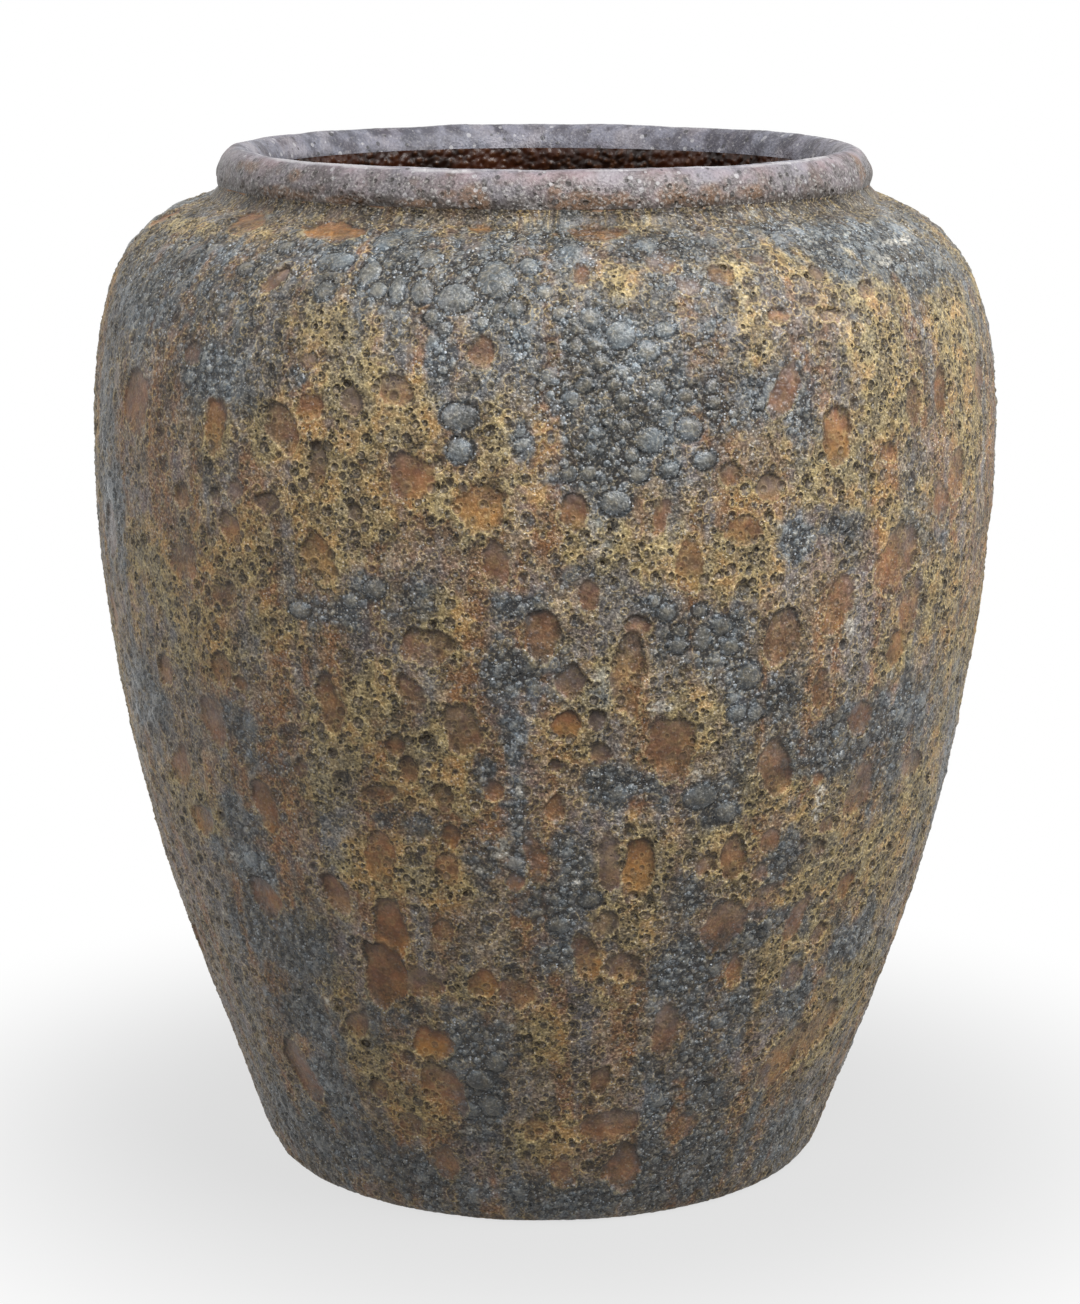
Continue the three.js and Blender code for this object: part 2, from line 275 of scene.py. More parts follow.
# %% List the patches of the front
SLATE_PATCHES = [
    # shoulder, from the left
    (150, 300, 42, 40), (195, 270, 60, 38), (235, 250, 55, 22), (330, 255, 60, 22), (400, 262, 70, 30),
    (480, 275, 55, 36), (560, 235, 60, 14), (560, 262, 40, 20), (660, 250, 60, 16), (760, 228, 60, 10),
    (860, 240, 65, 26), (915, 262, 38, 26), (400, 240, 70, 12), (520, 240, 34, 11), (680, 284, 46, 18),
    # the pebbly crust under the shoulder
    (590, 335, 55, 38), (650, 345, 75, 45), (690, 410, 60, 60), (640, 440, 60, 36), (590, 470, 45, 30),
    (760, 395, 22, 34), (700, 330, 40, 30), (520, 342, 20, 24), (555, 395, 26, 50), (695, 460, 42, 34),
    (800, 400, 20, 50),
    # upper wall
    (205, 372, 42, 38), (112, 470, 12, 70), (460, 417, 17, 14), (460, 448, 15, 14), (300, 375, 18, 14),
    (515, 604, 36, 20), (572, 580, 18, 16), (385, 590, 36, 22), (325, 612, 36, 22), (440, 365, 20, 32),
    (802, 540, 22, 24), (838, 526, 18, 14), (925, 525, 26, 30), (525, 440, 16, 26),
    # middle
    (520, 668, 44, 34), (705, 640, 50, 36), (655, 605, 30, 18), (775, 695, 34, 30), (835, 740, 58, 34),
    (905, 715, 36, 46), (620, 785, 60, 20), (695, 800, 40, 20), (150, 700, 30, 30), (240, 725, 26, 34),
    (265, 762, 36, 22), (245, 815, 34, 26), (390, 822, 30, 14), (515, 745, 16, 44), (485, 772, 18, 20),
    (885, 775, 22, 34),
    # lower
    (562, 850, 24, 40), (548, 905, 36, 46), (550, 960, 34, 30), (312, 945, 30, 36), (272, 950, 36, 44),
    (300, 1010, 40, 40), (395, 1015, 30, 22), (485, 1060, 36, 46), (480, 1110, 34, 36), (690, 1060, 58, 28),
    (700, 1155, 76, 34), (695, 965, 38, 36), (715, 1015, 44, 24), (690, 890, 20, 28), (785, 855, 20, 30),
    (770, 920, 32, 16), (846, 940, 20, 30), (335, 1090, 30, 42), (330, 1145, 54, 30), (700, 1098, 46, 26),
    (420, 1170, 56, 26), (545, 1196, 180, 20), (800, 990, 20, 26), (520, 840, 15, 80), (482, 860, 16, 24),
    (255, 862, 30, 24), (760, 1150, 30, 30),
]
FOAM_PATCHES = [
    # shoulder
    (120, 235, 36, 40), (185, 225, 50, 14), (255, 235, 26, 14), (108, 300, 14, 40), (620, 284, 38, 22),
    (725, 268, 40, 18), (800, 262, 44, 26), (600, 232, 40, 8), (860, 300, 46, 24),
    # upper wall
    (335, 330, 40, 36), (350, 385, 46, 42), (400, 420, 52, 44), (320, 450, 42, 36), (345, 505, 66, 36),
    (450, 490, 70, 40), (505, 440, 40, 34), (270, 420, 24, 40), (218, 430, 18, 42), (330, 560, 30, 36),
    (752, 325, 22, 44), (800, 440, 30, 44), (870, 345, 34, 50), (890, 405, 36, 40), (845, 450, 34, 46),
    (965, 330, 20, 70), (972, 430, 16, 80), (750, 490, 46, 30), (810, 490, 36, 22), (602, 545, 22, 36),
    (915, 520, 26, 44), (930, 600, 30, 54), (578, 545, 16, 24), (240, 560, 40, 44), (150, 570, 26, 44),
    (765, 560, 30, 44), (845, 500, 26, 30),
    # middle
    (735, 575, 40, 36), (665, 570, 32, 26), (600, 680, 36, 36), (335, 730, 34, 44), (380, 690, 36, 24),
    (435, 735, 34, 30), (420, 785, 44, 22), (190, 640, 50, 34), (270, 620, 34, 34), (895, 650, 26, 34),
    (945, 690, 18, 50), (570, 740, 46, 26), (190, 800, 30, 34), (700, 720, 30, 30), (440, 625, 26, 34),
    (330, 785, 34, 34), (770, 780, 34, 34),
    # lower
    (380, 865, 50, 34), (440, 880, 40, 26), (645, 860, 32, 50), (620, 920, 40, 34), (590, 965, 34, 34),
    (820, 825, 40, 40), (800, 885, 46, 40), (790, 950, 36, 56), (715, 860, 36, 40), (925, 790, 20, 60),
    (880, 870, 24, 60), (440, 1055, 34, 50), (420, 1110, 34, 30), (470, 990, 50, 20), (540, 1030, 30, 28),
    (540, 1140, 50, 28), (850, 990, 22, 44), (368, 1060, 24, 50), (330, 975, 24, 50), (790, 1040, 24, 30),
]
SMOKE_PATCHES = [
    # where the coat is darkest
    (650, 385, 56, 46), (235, 730, 34, 40), (915, 725, 28, 40), (320, 965, 44, 40), (325, 1130, 44, 60),
    (200, 285, 40, 30), (350, 275, 50, 20), (765, 1160, 34, 40), (845, 440, 22, 30), (445, 1060, 30, 60),
    (370, 620, 34, 40), (400, 240, 60, 12), (830, 800, 24, 30), (520, 282, 24, 14),
]
WASH_PATCHES = [
    # where it has a pale blue bloom
    (675, 455, 34, 28), (752, 400, 20, 18), (885, 236, 46, 16), (800, 234, 34, 9), (250, 358, 14, 22),
    (600, 440, 14, 20), (205, 375, 30, 26), (480, 372, 16, 26), (600, 530, 14, 26), (605, 685, 14, 18),
    (440, 390, 14, 30), (690, 482, 20, 16), (620, 330, 30, 14),
]


def patches(marks, fray, edge, core):
    """How far each point of the map lies inside the patches: 0 at the frayed edge, 1 in the core."""
    field = np.zeros_like(around)
    for u, v, half_u, half_v in placed(marks):
        du = (around - u + TURN / 2) % TURN - TURN / 2
        inside = np.hypot(du / half_u, (up - v) / half_v) + fray
        field = np.maximum(field, smooth(edge, core, inside))
    return field


# Noise frays the patches' edges and breaks gaps into the crust
fray = (
    0.40 * noise(around, up, 38, 52, 11)
    + 0.32 * noise(around, up, 16, 21, 12)
    + 0.24 * noise(around, up, 7, 8, 13)
)
broken = smooth(-1.2, -0.2, noise(around, up, 24, 30, 14) + 0.5 * noise(around, up, 10, 12, 15))
facing = np.abs((around + TURN / 2) % TURN - TURN / 2) / MAP_RADIUS
front = smooth(1.45, 1.15, facing)
# Slow noise places the patches of the back, and tall, narrow noise makes them drip
broad = noise(around, up, 110, 90, 21) + 0.6 * noise(around, up, 50, 60, 22) + fray
drips = noise(around, up, 60, 150, 31) + 0.6 * noise(around, up, 40, 60, 32) + fray
drip = noise(around, up, 15, 100, 58) + 0.6 * noise(around, up, 7, 60, 59)
torn_fray = fray + 0.25 * drip
slate = front * patches(SLATE_PATCHES, torn_fray, 1.4, 0.3)
slate = (slate + (1 - front) * smooth(0.3, 0.8, broad - 0.4 * drip)) * broken
foam = front * patches(FOAM_PATCHES, fray - 0.25 * drip, 1.45, 0.35)
foam = (foam + (1 - front) * smooth(0.1, 0.6, drips + 0.4 * drip)) * (1 - 0.8 * slate)
haze = noise(around, up, 90, 110, 23) + fray
smoke = front * patches(SMOKE_PATCHES, fray, 1.5, 0.3) + (1 - front) * smooth(0.4, 1.0, haze)
wash = front * patches(WASH_PATCHES, fray, 1.3, 0.3) + (1 - front) * smooth(-0.7, -1.1, haze)
print("slate covers", round(float(slate.mean()), 2), "of the map and foam", round(float(foam.mean()), 2))

# %% [markdown]
# ## Flat hollows
# Large bubbles burst late and settled into flat, oval hollows with a crisp edge, stretched by the drip of
# the glaze. Their floors are rust, orange or mauve. Each line gives the place and half size in the
# photograph, the lean in degrees, and the floor's tone from 0, orange, over 0.5, rust, to 1, mauve.

# %% List the hollows of the front
HOLLOWS = [
    # shoulder
    (248, 222, 18, 9, 35, 0.1), (335, 230, 30, 10, 0, 0.1), (480, 226, 13, 8, 0, 0.1),
    (598, 233, 38, 8, 0, 0.15), (581, 273, 9, 11, 0, 0.3), (689, 286, 13, 10, 0, 1.0),
    (816, 273, 8, 12, -15, 1.0), (864, 290, 11, 10, -20, 0.9), (808, 302, 8, 6, 0, 0.9),
    (830, 315, 11, 6, 0, 1.0), (757, 259, 8, 8, 0, 0.9), (721, 275, 13, 10, -25, 0.2),
    (776, 315, 9, 10, 0, 0.2), (279, 277, 8, 17, 35, 0.8), (660, 262, 12, 9, 0, 0.9),
    # upper left
    (281, 425, 14, 25, -25, 0.55), (318, 467, 9, 20, -5, 0.7), (308, 408, 12, 12, 0, 0.25),
    (408, 474, 21, 32, -10, 0.5), (486, 505, 27, 30, -20, 0.2), (498, 562, 15, 24, 0, 0.6),
    (318, 553, 16, 27, -25, 0.25), (356, 513, 9, 12, 0, 0.95), (269, 501, 13, 12, 0, 1.0),
    (352, 399, 9, 17, -15, 0.9), (396, 391, 14, 18, -30, 0.65), (481, 353, 11, 17, 0, 0.25),
    (139, 398, 12, 36, 0, 0.45), (218, 425, 12, 27, 0, 0.2), (193, 352, 9, 14, 0, 0.5),
    (232, 528, 9, 17, -20, 0.6), (217, 495, 5, 7, 0, 0.9), (236, 490, 8, 13, 0, 0.9),
    (184, 494, 8, 14, 0, 0.5), (182, 560, 12, 20, 0, 0.6), (222, 594, 12, 15, 0, 0.6),
    (310, 361, 9, 8, 0, 1.0),
    # upper right
    (573, 511, 15, 18, 0, 0.5), (661, 518, 9, 24, 15, 0.45), (690, 560, 12, 26, 0, 0.3),
    (590, 597, 11, 20, 0, 0.5), (638, 626, 12, 9, 0, 0.5), (783, 392, 13, 25, 25, 0.45),
    (840, 437, 14, 34, 10, 0.2), (888, 453, 11, 13, 0, 0.35), (912, 400, 8, 24, 0, 0.6),
    (940, 398, 7, 27, 0, 0.25), (729, 475, 15, 17, 0, 0.6), (768, 486, 14, 13, -10, 0.95),
    (838, 603, 14, 36, 20, 0.35), (898, 555, 17, 38, 10, 0.55), (908, 610, 9, 32, 5, 0.5),
    (894, 649, 8, 22, 15, 0.35), (745, 530, 20, 14, 0, 0.3), (955, 470, 8, 24, 0, 0.4),
    (940, 500, 8, 22, -10, 0.5),
    # middle
    (427, 647, 25, 18, -20, 0.35), (542, 634, 18, 27, 0, 0.3), (570, 680, 18, 20, 0, 0.8),
    (629, 677, 16, 34, 0, 0.4), (411, 692, 13, 20, -10, 0.4), (465, 730, 19, 31, 0, 0.65),
    (329, 704, 13, 36, 0, 0.45), (396, 745, 10, 12, 0, 0.5), (410, 771, 11, 18, 0, 0.45),
    (439, 794, 13, 15, -15, 0.6), (494, 790, 13, 13, 0, 0.55), (566, 724, 12, 12, 0, 0.25),
    (598, 720, 9, 10, 0, 1.0), (672, 746, 20, 32, 0, 0.4), (377, 795, 16, 8, -20, 0.45),
    (216, 725, 11, 28, -20, 0.6), (183, 766, 11, 18, -15, 0.3), (222, 670, 9, 16, 0, 0.45),
    (242, 683, 7, 10, 0, 0.5), (164, 670, 8, 17, 0, 0.5), (267, 805, 10, 23, -10, 0.45),
    (302, 769, 6, 10, 0, 0.55), (783, 638, 16, 29, 15, 0.45), (820, 692, 11, 25, 0, 0.35),
    (861, 717, 12, 14, 0, 0.45), (770, 768, 17, 33, -20, 0.5), (858, 795, 15, 24, 0, 0.65),
    (554, 810, 14, 18, 0, 0.25), (911, 764, 8, 10, 0, 0.8), (816, 777, 6, 9, 0, 0.5),
    (600, 755, 13, 11, 0, 0.7), (555, 765, 7, 7, 0, 0.8),
    # lower
    (379, 858, 15, 24, 0, 0.35), (446, 868, 14, 17, 0, 0.45), (451, 838, 10, 11, 0, 0.2),
    (536, 855, 15, 28, -10, 0.5), (608, 867, 13, 36, 0, 0.75), (640, 865, 17, 34, 0, 0.15),
    (388, 931, 16, 27, 0, 0.35), (384, 974, 20, 32, -5, 0.4), (336, 893, 12, 20, -20, 0.35),
    (588, 956, 12, 22, -15, 0.25), (605, 924, 13, 15, 0, 0.95), (514, 882, 10, 10, 0, 0.6),
    (703, 866, 11, 10, 0, 0.8), (733, 864, 12, 27, 0, 0.45), (724, 923, 17, 24, 0, 0.6),
    (515, 992, 17, 18, -20, 0.35), (483, 985, 16, 14, 0, 0.15), (264, 895, 12, 18, -15, 0.55),
    (204, 820, 9, 17, 0, 0.25), (444, 930, 9, 11, 0, 0.45), (426, 982, 18, 14, -20, 0.75),
    (624, 968, 21, 14, 0, 0.75), (734, 971, 8, 17, 0, 0.5), (795, 920, 9, 30, 12, 0.5),
    (816, 934, 8, 12, 10, 0.8), (790, 973, 11, 18, 0, 0.5), (846, 882, 7, 13, 10, 0.4),
    (764, 900, 12, 15, 0, 0.6), (758, 873, 7, 9, 0, 0.6), (768, 839, 8, 11, 0, 0.5),
    (827, 823, 8, 9, 15, 0.7), (816, 848, 8, 8, 0, 0.7), (446, 1091, 21, 25, -10, 0.4),
    (439, 1044, 18, 16, 0, 0.15), (446, 1165, 11, 20, 0, 0.55), (410, 1121, 10, 11, 0, 0.7),
    (536, 1128, 16, 15, 0, 0.35), (562, 1170, 12, 20, -20, 0.4), (609, 1125, 24, 15, 0, 0.6),
    (620, 1167, 17, 22, 0, 0.5), (680, 1127, 15, 14, 0, 0.4), (357, 1021, 12, 14, 0, 0.6),
    (781, 1057, 13, 33, 25, 0.5), (815, 1030, 12, 24, 30, 0.5), (665, 1035, 12, 24, 0, 0.6),
    (600, 1080, 14, 18, 0, 0.6), (380, 1085, 9, 14, 0, 0.5), (305, 1075, 10, 26, -15, 0.5),
]


def back_hollows(count, taken, seed):
    """Random hollows for the back, each clear of the others and of those already taken."""
    rng = np.random.default_rng(seed)
    while len(taken) < count:
        u = rng.uniform(0.19, 0.81) * TURN
        v = rng.uniform(20, along[-1] - 30)
        half_u = rng.choice([7, 10, 12, 14, 17]) * rng.uniform(0.8, 1.2)
        half_v = half_u * rng.uniform(0.9, 2.2)
        near = []
        for other_u, other_v, other_half_u, other_half_v, *_ in taken:
            du = (u - other_u + TURN / 2) % TURN - TURN / 2
            near.append(math.hypot(du / (half_u + other_half_u), (v - other_v) / (half_v + other_half_v)))
        if min(near) > 0.9:
            taken.append((u, v, half_u, half_v, rng.normal(0, 14), rng.beta(2, 2.4)))
    return taken


hollows = [(*place, *mark[4:]) for place, mark in zip(placed(HOLLOWS), HOLLOWS)]
front_count = len(hollows)
hollows = back_hollows(front_count * 2, hollows, 7)
print(front_count, "hollows on the front,", len(hollows) - front_count, "more round the back")

# %% [markdown]
# ## Bubble caps and chalk
# On the shoulder a few bubbles grew as large as coins without bursting. Their caps are listed like the
# hollows, with a tone from 0, dark slate, to 1, pale grey. White chalky specks, where lime settled, are
# listed last.

# %% List the large bubble caps and the chalk specks
CAPS = [
    # shoulder
    (371, 272, 13, 14, 0.6), (378, 291, 10, 10, 0.55), (398, 290, 8, 15, 0.7), (423, 291, 11, 13, 0.65),
    (457, 298, 19, 15, 0.9), (496, 277, 19, 18, 0.4), (389, 241, 16, 9, 0.3), (337, 260, 19, 9, 0.25),
    (430, 258, 12, 9, 0.4), (528, 265, 11, 9, 0.3), (325, 290, 10, 11, 0.4), (246, 268, 8, 7, 0.3),
    (287, 247, 9, 7, 0.3), (432, 317, 8, 9, 0.6), (445, 328, 8, 8, 0.6), (515, 308, 10, 9, 0.4),
    (545, 292, 9, 8, 0.3), (560, 312, 9, 9, 0.45), (480, 322, 8, 7, 0.5), (590, 318, 12, 11, 0.35),
    # crust under the shoulder
    (620, 335, 15, 13, 0.39), (648, 352, 12, 12, 0.26), (600, 362, 10, 10, 0.33), (575, 345, 10, 9, 0.33),
    (664, 330, 11, 9, 0.29), (585, 385, 10, 8, 0.39), (613, 385, 8, 7, 0.45), (622, 400, 9, 10, 0.36),
    (608, 424, 8, 7, 0.59), (624, 427, 7, 8, 0.49), (596, 433, 10, 7, 0.52), (632, 455, 8, 8, 0.39),
    (650, 440, 16, 13, 0.16), (657, 390, 10, 9, 0.29), (685, 396, 11, 9, 0.23), (713, 402, 9, 8, 0.26),
    (638, 474, 11, 10, 0.26), (569, 474, 9, 8, 0.36), (588, 474, 9, 8, 0.33), (615, 502, 16, 13, 0.55),
    (690, 430, 14, 13, 0.2), (705, 460, 12, 10, 0.33), (670, 470, 11, 9, 0.29),
    # wall
    (666, 613, 11, 10, 0.35), (700, 611, 8, 7, 0.3), (719, 627, 13, 9, 0.3), (729, 646, 10, 9, 0.3),
    (702, 639, 10, 13, 0.2), (680, 633, 9, 9, 0.25), (677, 646, 11, 9, 0.4), (748, 676, 13, 13, 0.25),
    (735, 712, 10, 8, 0.5), (755, 712, 8, 8, 0.6), (460, 417, 18, 15, 0.75), (460, 449, 15, 14, 0.65),
    (352, 600, 9, 8, 0.5), (375, 588, 12, 10, 0.45), (300, 610, 10, 8, 0.4), (480, 1080, 15, 12, 0.1),
    (495, 1062, 12, 10, 0.1), (490, 1105, 14, 11, 0.15), (470, 1110, 11, 9, 0.1), (700, 795, 16, 12, 0.3),
    (725, 810, 12, 11, 0.4), (590, 900, 12, 9, 0.2), (560, 925, 12, 9, 0.2),
]
CHALK = [
    (235, 857, 6, 5), (223, 912, 4, 5), (232, 970, 5, 5), (503, 848, 6, 9), (480, 870, 6, 4),
    (580, 1096, 10, 7), (850, 625, 7, 14), (657, 707, 9, 4), (603, 733, 6, 5), (697, 773, 12, 8),
    (817, 800, 4, 14), (787, 805, 3, 7), (570, 882, 9, 3), (513, 1027, 8, 4), (503, 1052, 10, 2),
    (890, 675, 5, 8), (905, 240, 20, 4), (885, 262, 9, 4), (520, 790, 5, 9), (622, 765, 9, 5),
    (300, 860, 6, 5), (470, 1130, 7, 4), (740, 1090, 8, 4), (330, 1000, 6, 5),
]
print(len(CAPS), "caps and", len(CHALK), "chalk specks")

# %% [markdown]
# ## The relief
# A displaced mesh gives real edges, shadows and outlines, which a bump map can't. Each kind of mark
# becomes a height in millimetres: domes for the crust, bowls with a raised lip for small burst bubbles,
# and flat floors for the hollows. The same fields are kept as attributes, so that colour and shape always
# agree. Some of them are distances to the edges of bubbles, bowls and hollows. From a distance, a
# material can draw a crisper edge than the mesh, whose points are 1.5 mm apart. Under it all lies the
# slow swell of a jar made by hand. It uses the same named waves as the CAD model, so that the two shapes
# agree.

# %% Raise the bubbles of the crust
on_body = smooth(RIM_START + 2, RIM_START - 16, up)
ash = smooth(RIM_START - 230, RIM_START - 60, up + 40 * fray)
ash = ash * smooth(RIM_START - 6, RIM_START - 40, up + 10 * fray)
bent_around = around + 1.6 * noise(around, up, 13, 13, 141)
bent_up = up + 1.6 * noise(around, up, 13, 13, 142)
FAR = 9.0
nearest = np.full_like(around, FAR)
second = np.full_like(around, FAR)
pebble_tone = np.zeros_like(around)
for spacing, share, seed in ((30, 0.6 * ash, 131), (22, 0.4, 101), (12.5, 0.75, 111), (7.5, 1.0, 121)):
    for du, dv, spot in scattered(bent_around, bent_up, stretch, spacing, seed):
        radius = spacing * (0.26 + 0.26 * hashed(*spot, seed + 2))
        squash = 0.8 + 0.5 * hashed(*spot, seed + 4)
        away = np.where(hashed(*spot, seed + 3) < share, np.hypot(du * squash, dv) - radius, FAR)
        pebble_tone = np.where(away < nearest, hashed(*spot, seed + 5), pebble_tone)
        second = np.minimum(second, np.maximum(nearest, away))
        nearest = np.minimum(nearest, away)
print("bubbles fill", round(float((nearest < 0).mean()), 2), "of the map")


# %% Add the large caps
def window(u, v, half_u, half_v, lean):
    """The part of the map near a mark, how far its points are from the middle, and how high up the mark.

    A distance of 1 is on the mark's edge, and so is a height of 1 or -1.
    """
    reach = 1.6 * max(half_u, half_v)
    rows = np.flatnonzero(np.abs(along - v) < reach)
    turns = (phi * MAP_RADIUS - u + TURN / 2) % TURN - TURN / 2
    columns = np.flatnonzero(np.abs(turns) < reach)
    du, dv = turns[columns][None, :], (along[rows] - v)[:, None]
    cos, sin = math.cos(math.radians(lean)), math.sin(math.radians(lean))
    away = np.hypot((du * cos - dv * sin) / half_u, (du * sin + dv * cos) / half_v)
    return np.ix_(rows, columns), away, dv / half_v


ragged = 0.16 * noise(around, up, 16, 18, 41) + 0.09 * noise(around, up, 7, 7, 42)
cap = np.zeros_like(around)
pebble_gap = np.minimum(-nearest, (second - nearest) / 2)
for (u, v, half_u, half_v), mark in zip(placed(CAPS), CAPS):
    here, away, _ = window(u, v, half_u, half_v, 0)
    away = away + ragged[here]
    cap[here] = np.maximum(cap[here], smooth(1.25, 1.1, away))
    away = (away - 1) * min(half_u, half_v)
    pebble_tone[here] = np.where(away < 0, mark[4], pebble_tone[here])
    pebble_gap[here] = np.where(away < 0, -away, np.minimum(pebble_gap[here], away - 0.6))
slate = np.maximum(slate, cap)
foam = foam * (1 - cap)
pebble_gap = np.clip(pebble_gap, -3, 12)
pebble = np.minimum(1.1 * np.sqrt(np.maximum(pebble_gap, 0)), 3.0)
print("bubbles stand up to", round(float(pebble.max()), 1), "mm")

# %% Sink the small burst bubbles
bowl = np.zeros_like(around)
lip = np.zeros_like(around)
BOWL_REACH = 4.0
bowl_rim = np.full_like(around, BOWL_REACH)
for spacing, share, seed in ((26, 0.3, 201), (15, 0.45, 211), (9, 0.6, 221)):
    for du, dv, spot in scattered(around, up, stretch, spacing, seed):
        radius = spacing * (0.14 + 0.2 * hashed(*spot, seed + 2))
        present = hashed(*spot, seed + 3) < share
        squash = 0.9 + 0.5 * hashed(*spot, seed + 4)
        away = np.where(present, np.hypot(du * squash, dv) / radius, FAR)
        depth = np.minimum(0.42 * radius, 2.2)
        bowl = np.maximum(bowl, smooth(1.0, 0.35, away) * depth)
        lip = np.maximum(lip, np.exp(-(((away - 1.08) / 0.2) ** 2)))
        bowl_rim = np.minimum(bowl_rim, (away - 0.95) * radius)
print("bowls are up to", round(float(bowl.max()), 1), "mm deep")

# %% Cut the flat hollows
hollow = np.zeros_like(around)
hollow_depth = np.zeros_like(around)
hollow_edge = np.zeros_like(around)
HOLLOW_REACH = 8.0
hollow_rim = np.full_like(around, HOLLOW_REACH)
hollow_force = np.zeros_like(around)
hollow_shadow_strength = np.zeros_like(around)
hollow_rise = np.zeros_like(around)
hollow_tone = np.zeros_like(around)
torn = (
    0.32 * noise(around, up, 20, 34, 43)
    + 0.2 * noise(around, up, 9, 14, 44)
    + 0.1 * noise(around, up, 5, 5, 45)
)
depths = 0.3 + 0.9 * hashed(np.arange(len(hollows)), 0, 46) ** 1.6
strengths = 0.6 + 0.4 * hashed(np.arange(len(hollows)), 1, 46)
for (u, v, half_u, half_v, lean, tone), depth, strength in zip(hollows, depths, strengths):
    here, away, rise = window(u, v, half_u, half_v, lean)
    away = away + torn[here]
    floor = smooth(1.1 - 0.05 * depth, 0.75 + 0.12 * depth, away)
    rim = (away - 1) * min(half_u, half_v)
    deeper = rim < hollow_rim[here]
    hollow_rim[here] = np.minimum(rim, hollow_rim[here])
    hollow_rise[here] = np.where(deeper, rise, hollow_rise[here])
    force = strength * (0.55 + 0.45 * smooth(-1.0, -0.2, rise))
    hollow_force[here] = np.where(deeper, force, hollow_force[here])
    hollow_tone[here] = np.where(deeper, np.clip(tone + 0.1 + 0.35 * rise, 0, 1), hollow_tone[here])
    hollow_depth[here] = np.maximum(hollow_depth[here], floor * depth * (1.4 + 0.8 * np.clip(rise, -1, 1)))
    hollow[here] = np.maximum(hollow[here], floor * force)
    hollow_edge[here] = np.maximum(hollow_edge[here], depth * np.exp(-(((away - 1.06) / 0.08) ** 2)))
    # how strong the painted shadow on this hollow's upper edge is
    hollow_shadow_strength[here] = np.where(deeper, np.minimum(0.25 + 0.65 * depth, 1) * force, hollow_shadow_strength[here])
# Rust runs down from each hollow and fades
RUN = 60.0
run = hollow.copy()
for row in range(len(along) - 2, -1, -1):
    run[row] = np.maximum(run[row], run[row + 1] * math.exp((along[row] - along[row + 1]) / RUN))
run = blurred(run, 5) * smooth(-0.7, 0.5, noise(around, up, 9, 90, 47) + fray)
print("hollows cover", round(float(hollow.mean()), 2), "of the map")

# %% Add the layers up to one height
# The slow swell, with the CAD model's own waves
SWELL = 0.9
SWELL_RISE = 420
SWELL_FADE = 70
SWELL_WAVES = ((1, 3, 1, 0.1), (0.8, -5, 0.7, 0.3), (0.55, 11, 1.6, 0.8), (0.45, -17, 2.1, 0.6))
swell = np.zeros_like(around)
for share, count, rise, start in SWELL_WAVES:
    swell += SWELL * share * np.sin(count * phi + 2 * math.pi * (up / (rise * SWELL_RISE) + start))
swell *= smooth(0, SWELL_FADE, np.minimum(up, RIM_START - up))
on_rim = smooth(RIM_START - 30, RIM_START + 5, up)
swell += on_rim * (1.2 * noise(around, up, 190, 170, 51) + 0.3 * noise(around, up, 34, 34, 52))
swell += 0.5 * noise(around, up, 40, 40, 55)
# Grain, long streaks, and the zones where the material draws pinholes and beads
grain = 0.35 * noise(around, up, 9, 9, 53) + 0.35 * noise(around, up, 4.4, 4.4, 54)
streak = noise(around, up, 26, 210, 56) + 0.5 * noise(around, up, 11, 120, 57)
chalk = patches(CHALK, 1.6 * fray, 1.2, 0.6)
pit_zone = np.clip(0.5 + 0.6 * foam, 0, 1) * (1 - 0.6 * hollow) * (1 - 0.8 * slate)
bead_zone = np.clip(0.3 + 0.7 * slate + 0.2 * ash, 0, 1) * (1 - 0.8 * hollow) * (1 - 0.7 * foam)
open_ground = (1 - 0.75 * slate) * (1 - hollow)
crust = np.maximum(slate, 0.75 * ash * broken * (1 - foam)) * (1 - 0.92 * hollow)
# The height, layer by layer
height = swell + grain * (1 - 0.6 * hollow) * (0.35 + 0.65 * on_body)
height += on_body * (crust * (pebble - 0.6) + 0.3 * (1 - crust) * (1 - hollow) * pebble)
height -= on_body * open_ground * (0.55 + 0.45 * foam) * bowl
height += on_body * open_ground * 0.6 * lip
height += on_body * foam * (1 - hollow) * 0.6
height += on_body * (0.6 * hollow_edge - hollow_depth)
rim_bumps = smooth(RIM_START - 8, RIM_START + 2, up) * smooth(RIM_START + 30, RIM_START + 8, up)
rim_lumps = 0.9 * noise(around, up, 12, 9, 61) + 0.8 * noise(around, up, 34, 14, 62)
height += rim_bumps * (rim_lumps - 0.5 * bowl)
# The crease under the rim: a groove in the height, and painted shade in the colour
crease = np.exp(-(((up - RIM_START + 5 + 4 * noise(around, up, 40, 400, 63)) / 7) ** 2))
height -= 2.2 * crease
# Soft fields for the colours: painted shade under the rim, and tints round the hollows, in the crust and
# foam
under_rim_painted_shade = smooth(RIM_START - 50, RIM_START - 16, up + 14 * fray)
halo = np.clip(2.2 * blurred(hollow, 26), 0, 1)
gloom = smooth(0.2, 0.6, blurred(slate, 26))
glow = smooth(0.2, 0.6, blurred(np.maximum(foam, hollow), 24)) * (1 - gloom)
pebble_top = crust * smooth(0.8, 1.8, pebble)
bead_zone = bead_zone * (1 - 0.75 * pebble_top)
grit_zone = (1 - 0.8 * hollow) * (1 - 0.45 * pebble_top)
DEEPEST = -3.3
HIGHEST = 4.5
height = np.clip(height, DEEPEST, HIGHEST)
# What lies below its surroundings gets painted shade, and what stands above them a painted highlight
coarse = blurred(height, 7)
painted_dip_shade = np.clip((coarse - height) / 0.95, 0, 1) * (1 - 0.6 * hollow)
ridge = np.clip((height - coarse) / 1.4, 0, 1)
# Less relief at the foot, and none at the rim's inner edge
height *= 0.4 + 0.6 * smooth(0, 10, up)
height *= smooth(along[-1], along[-1] - 10, up)
print("relief from", round(float(height.min()), 1), "to", round(float(height.max()), 1), "mm")

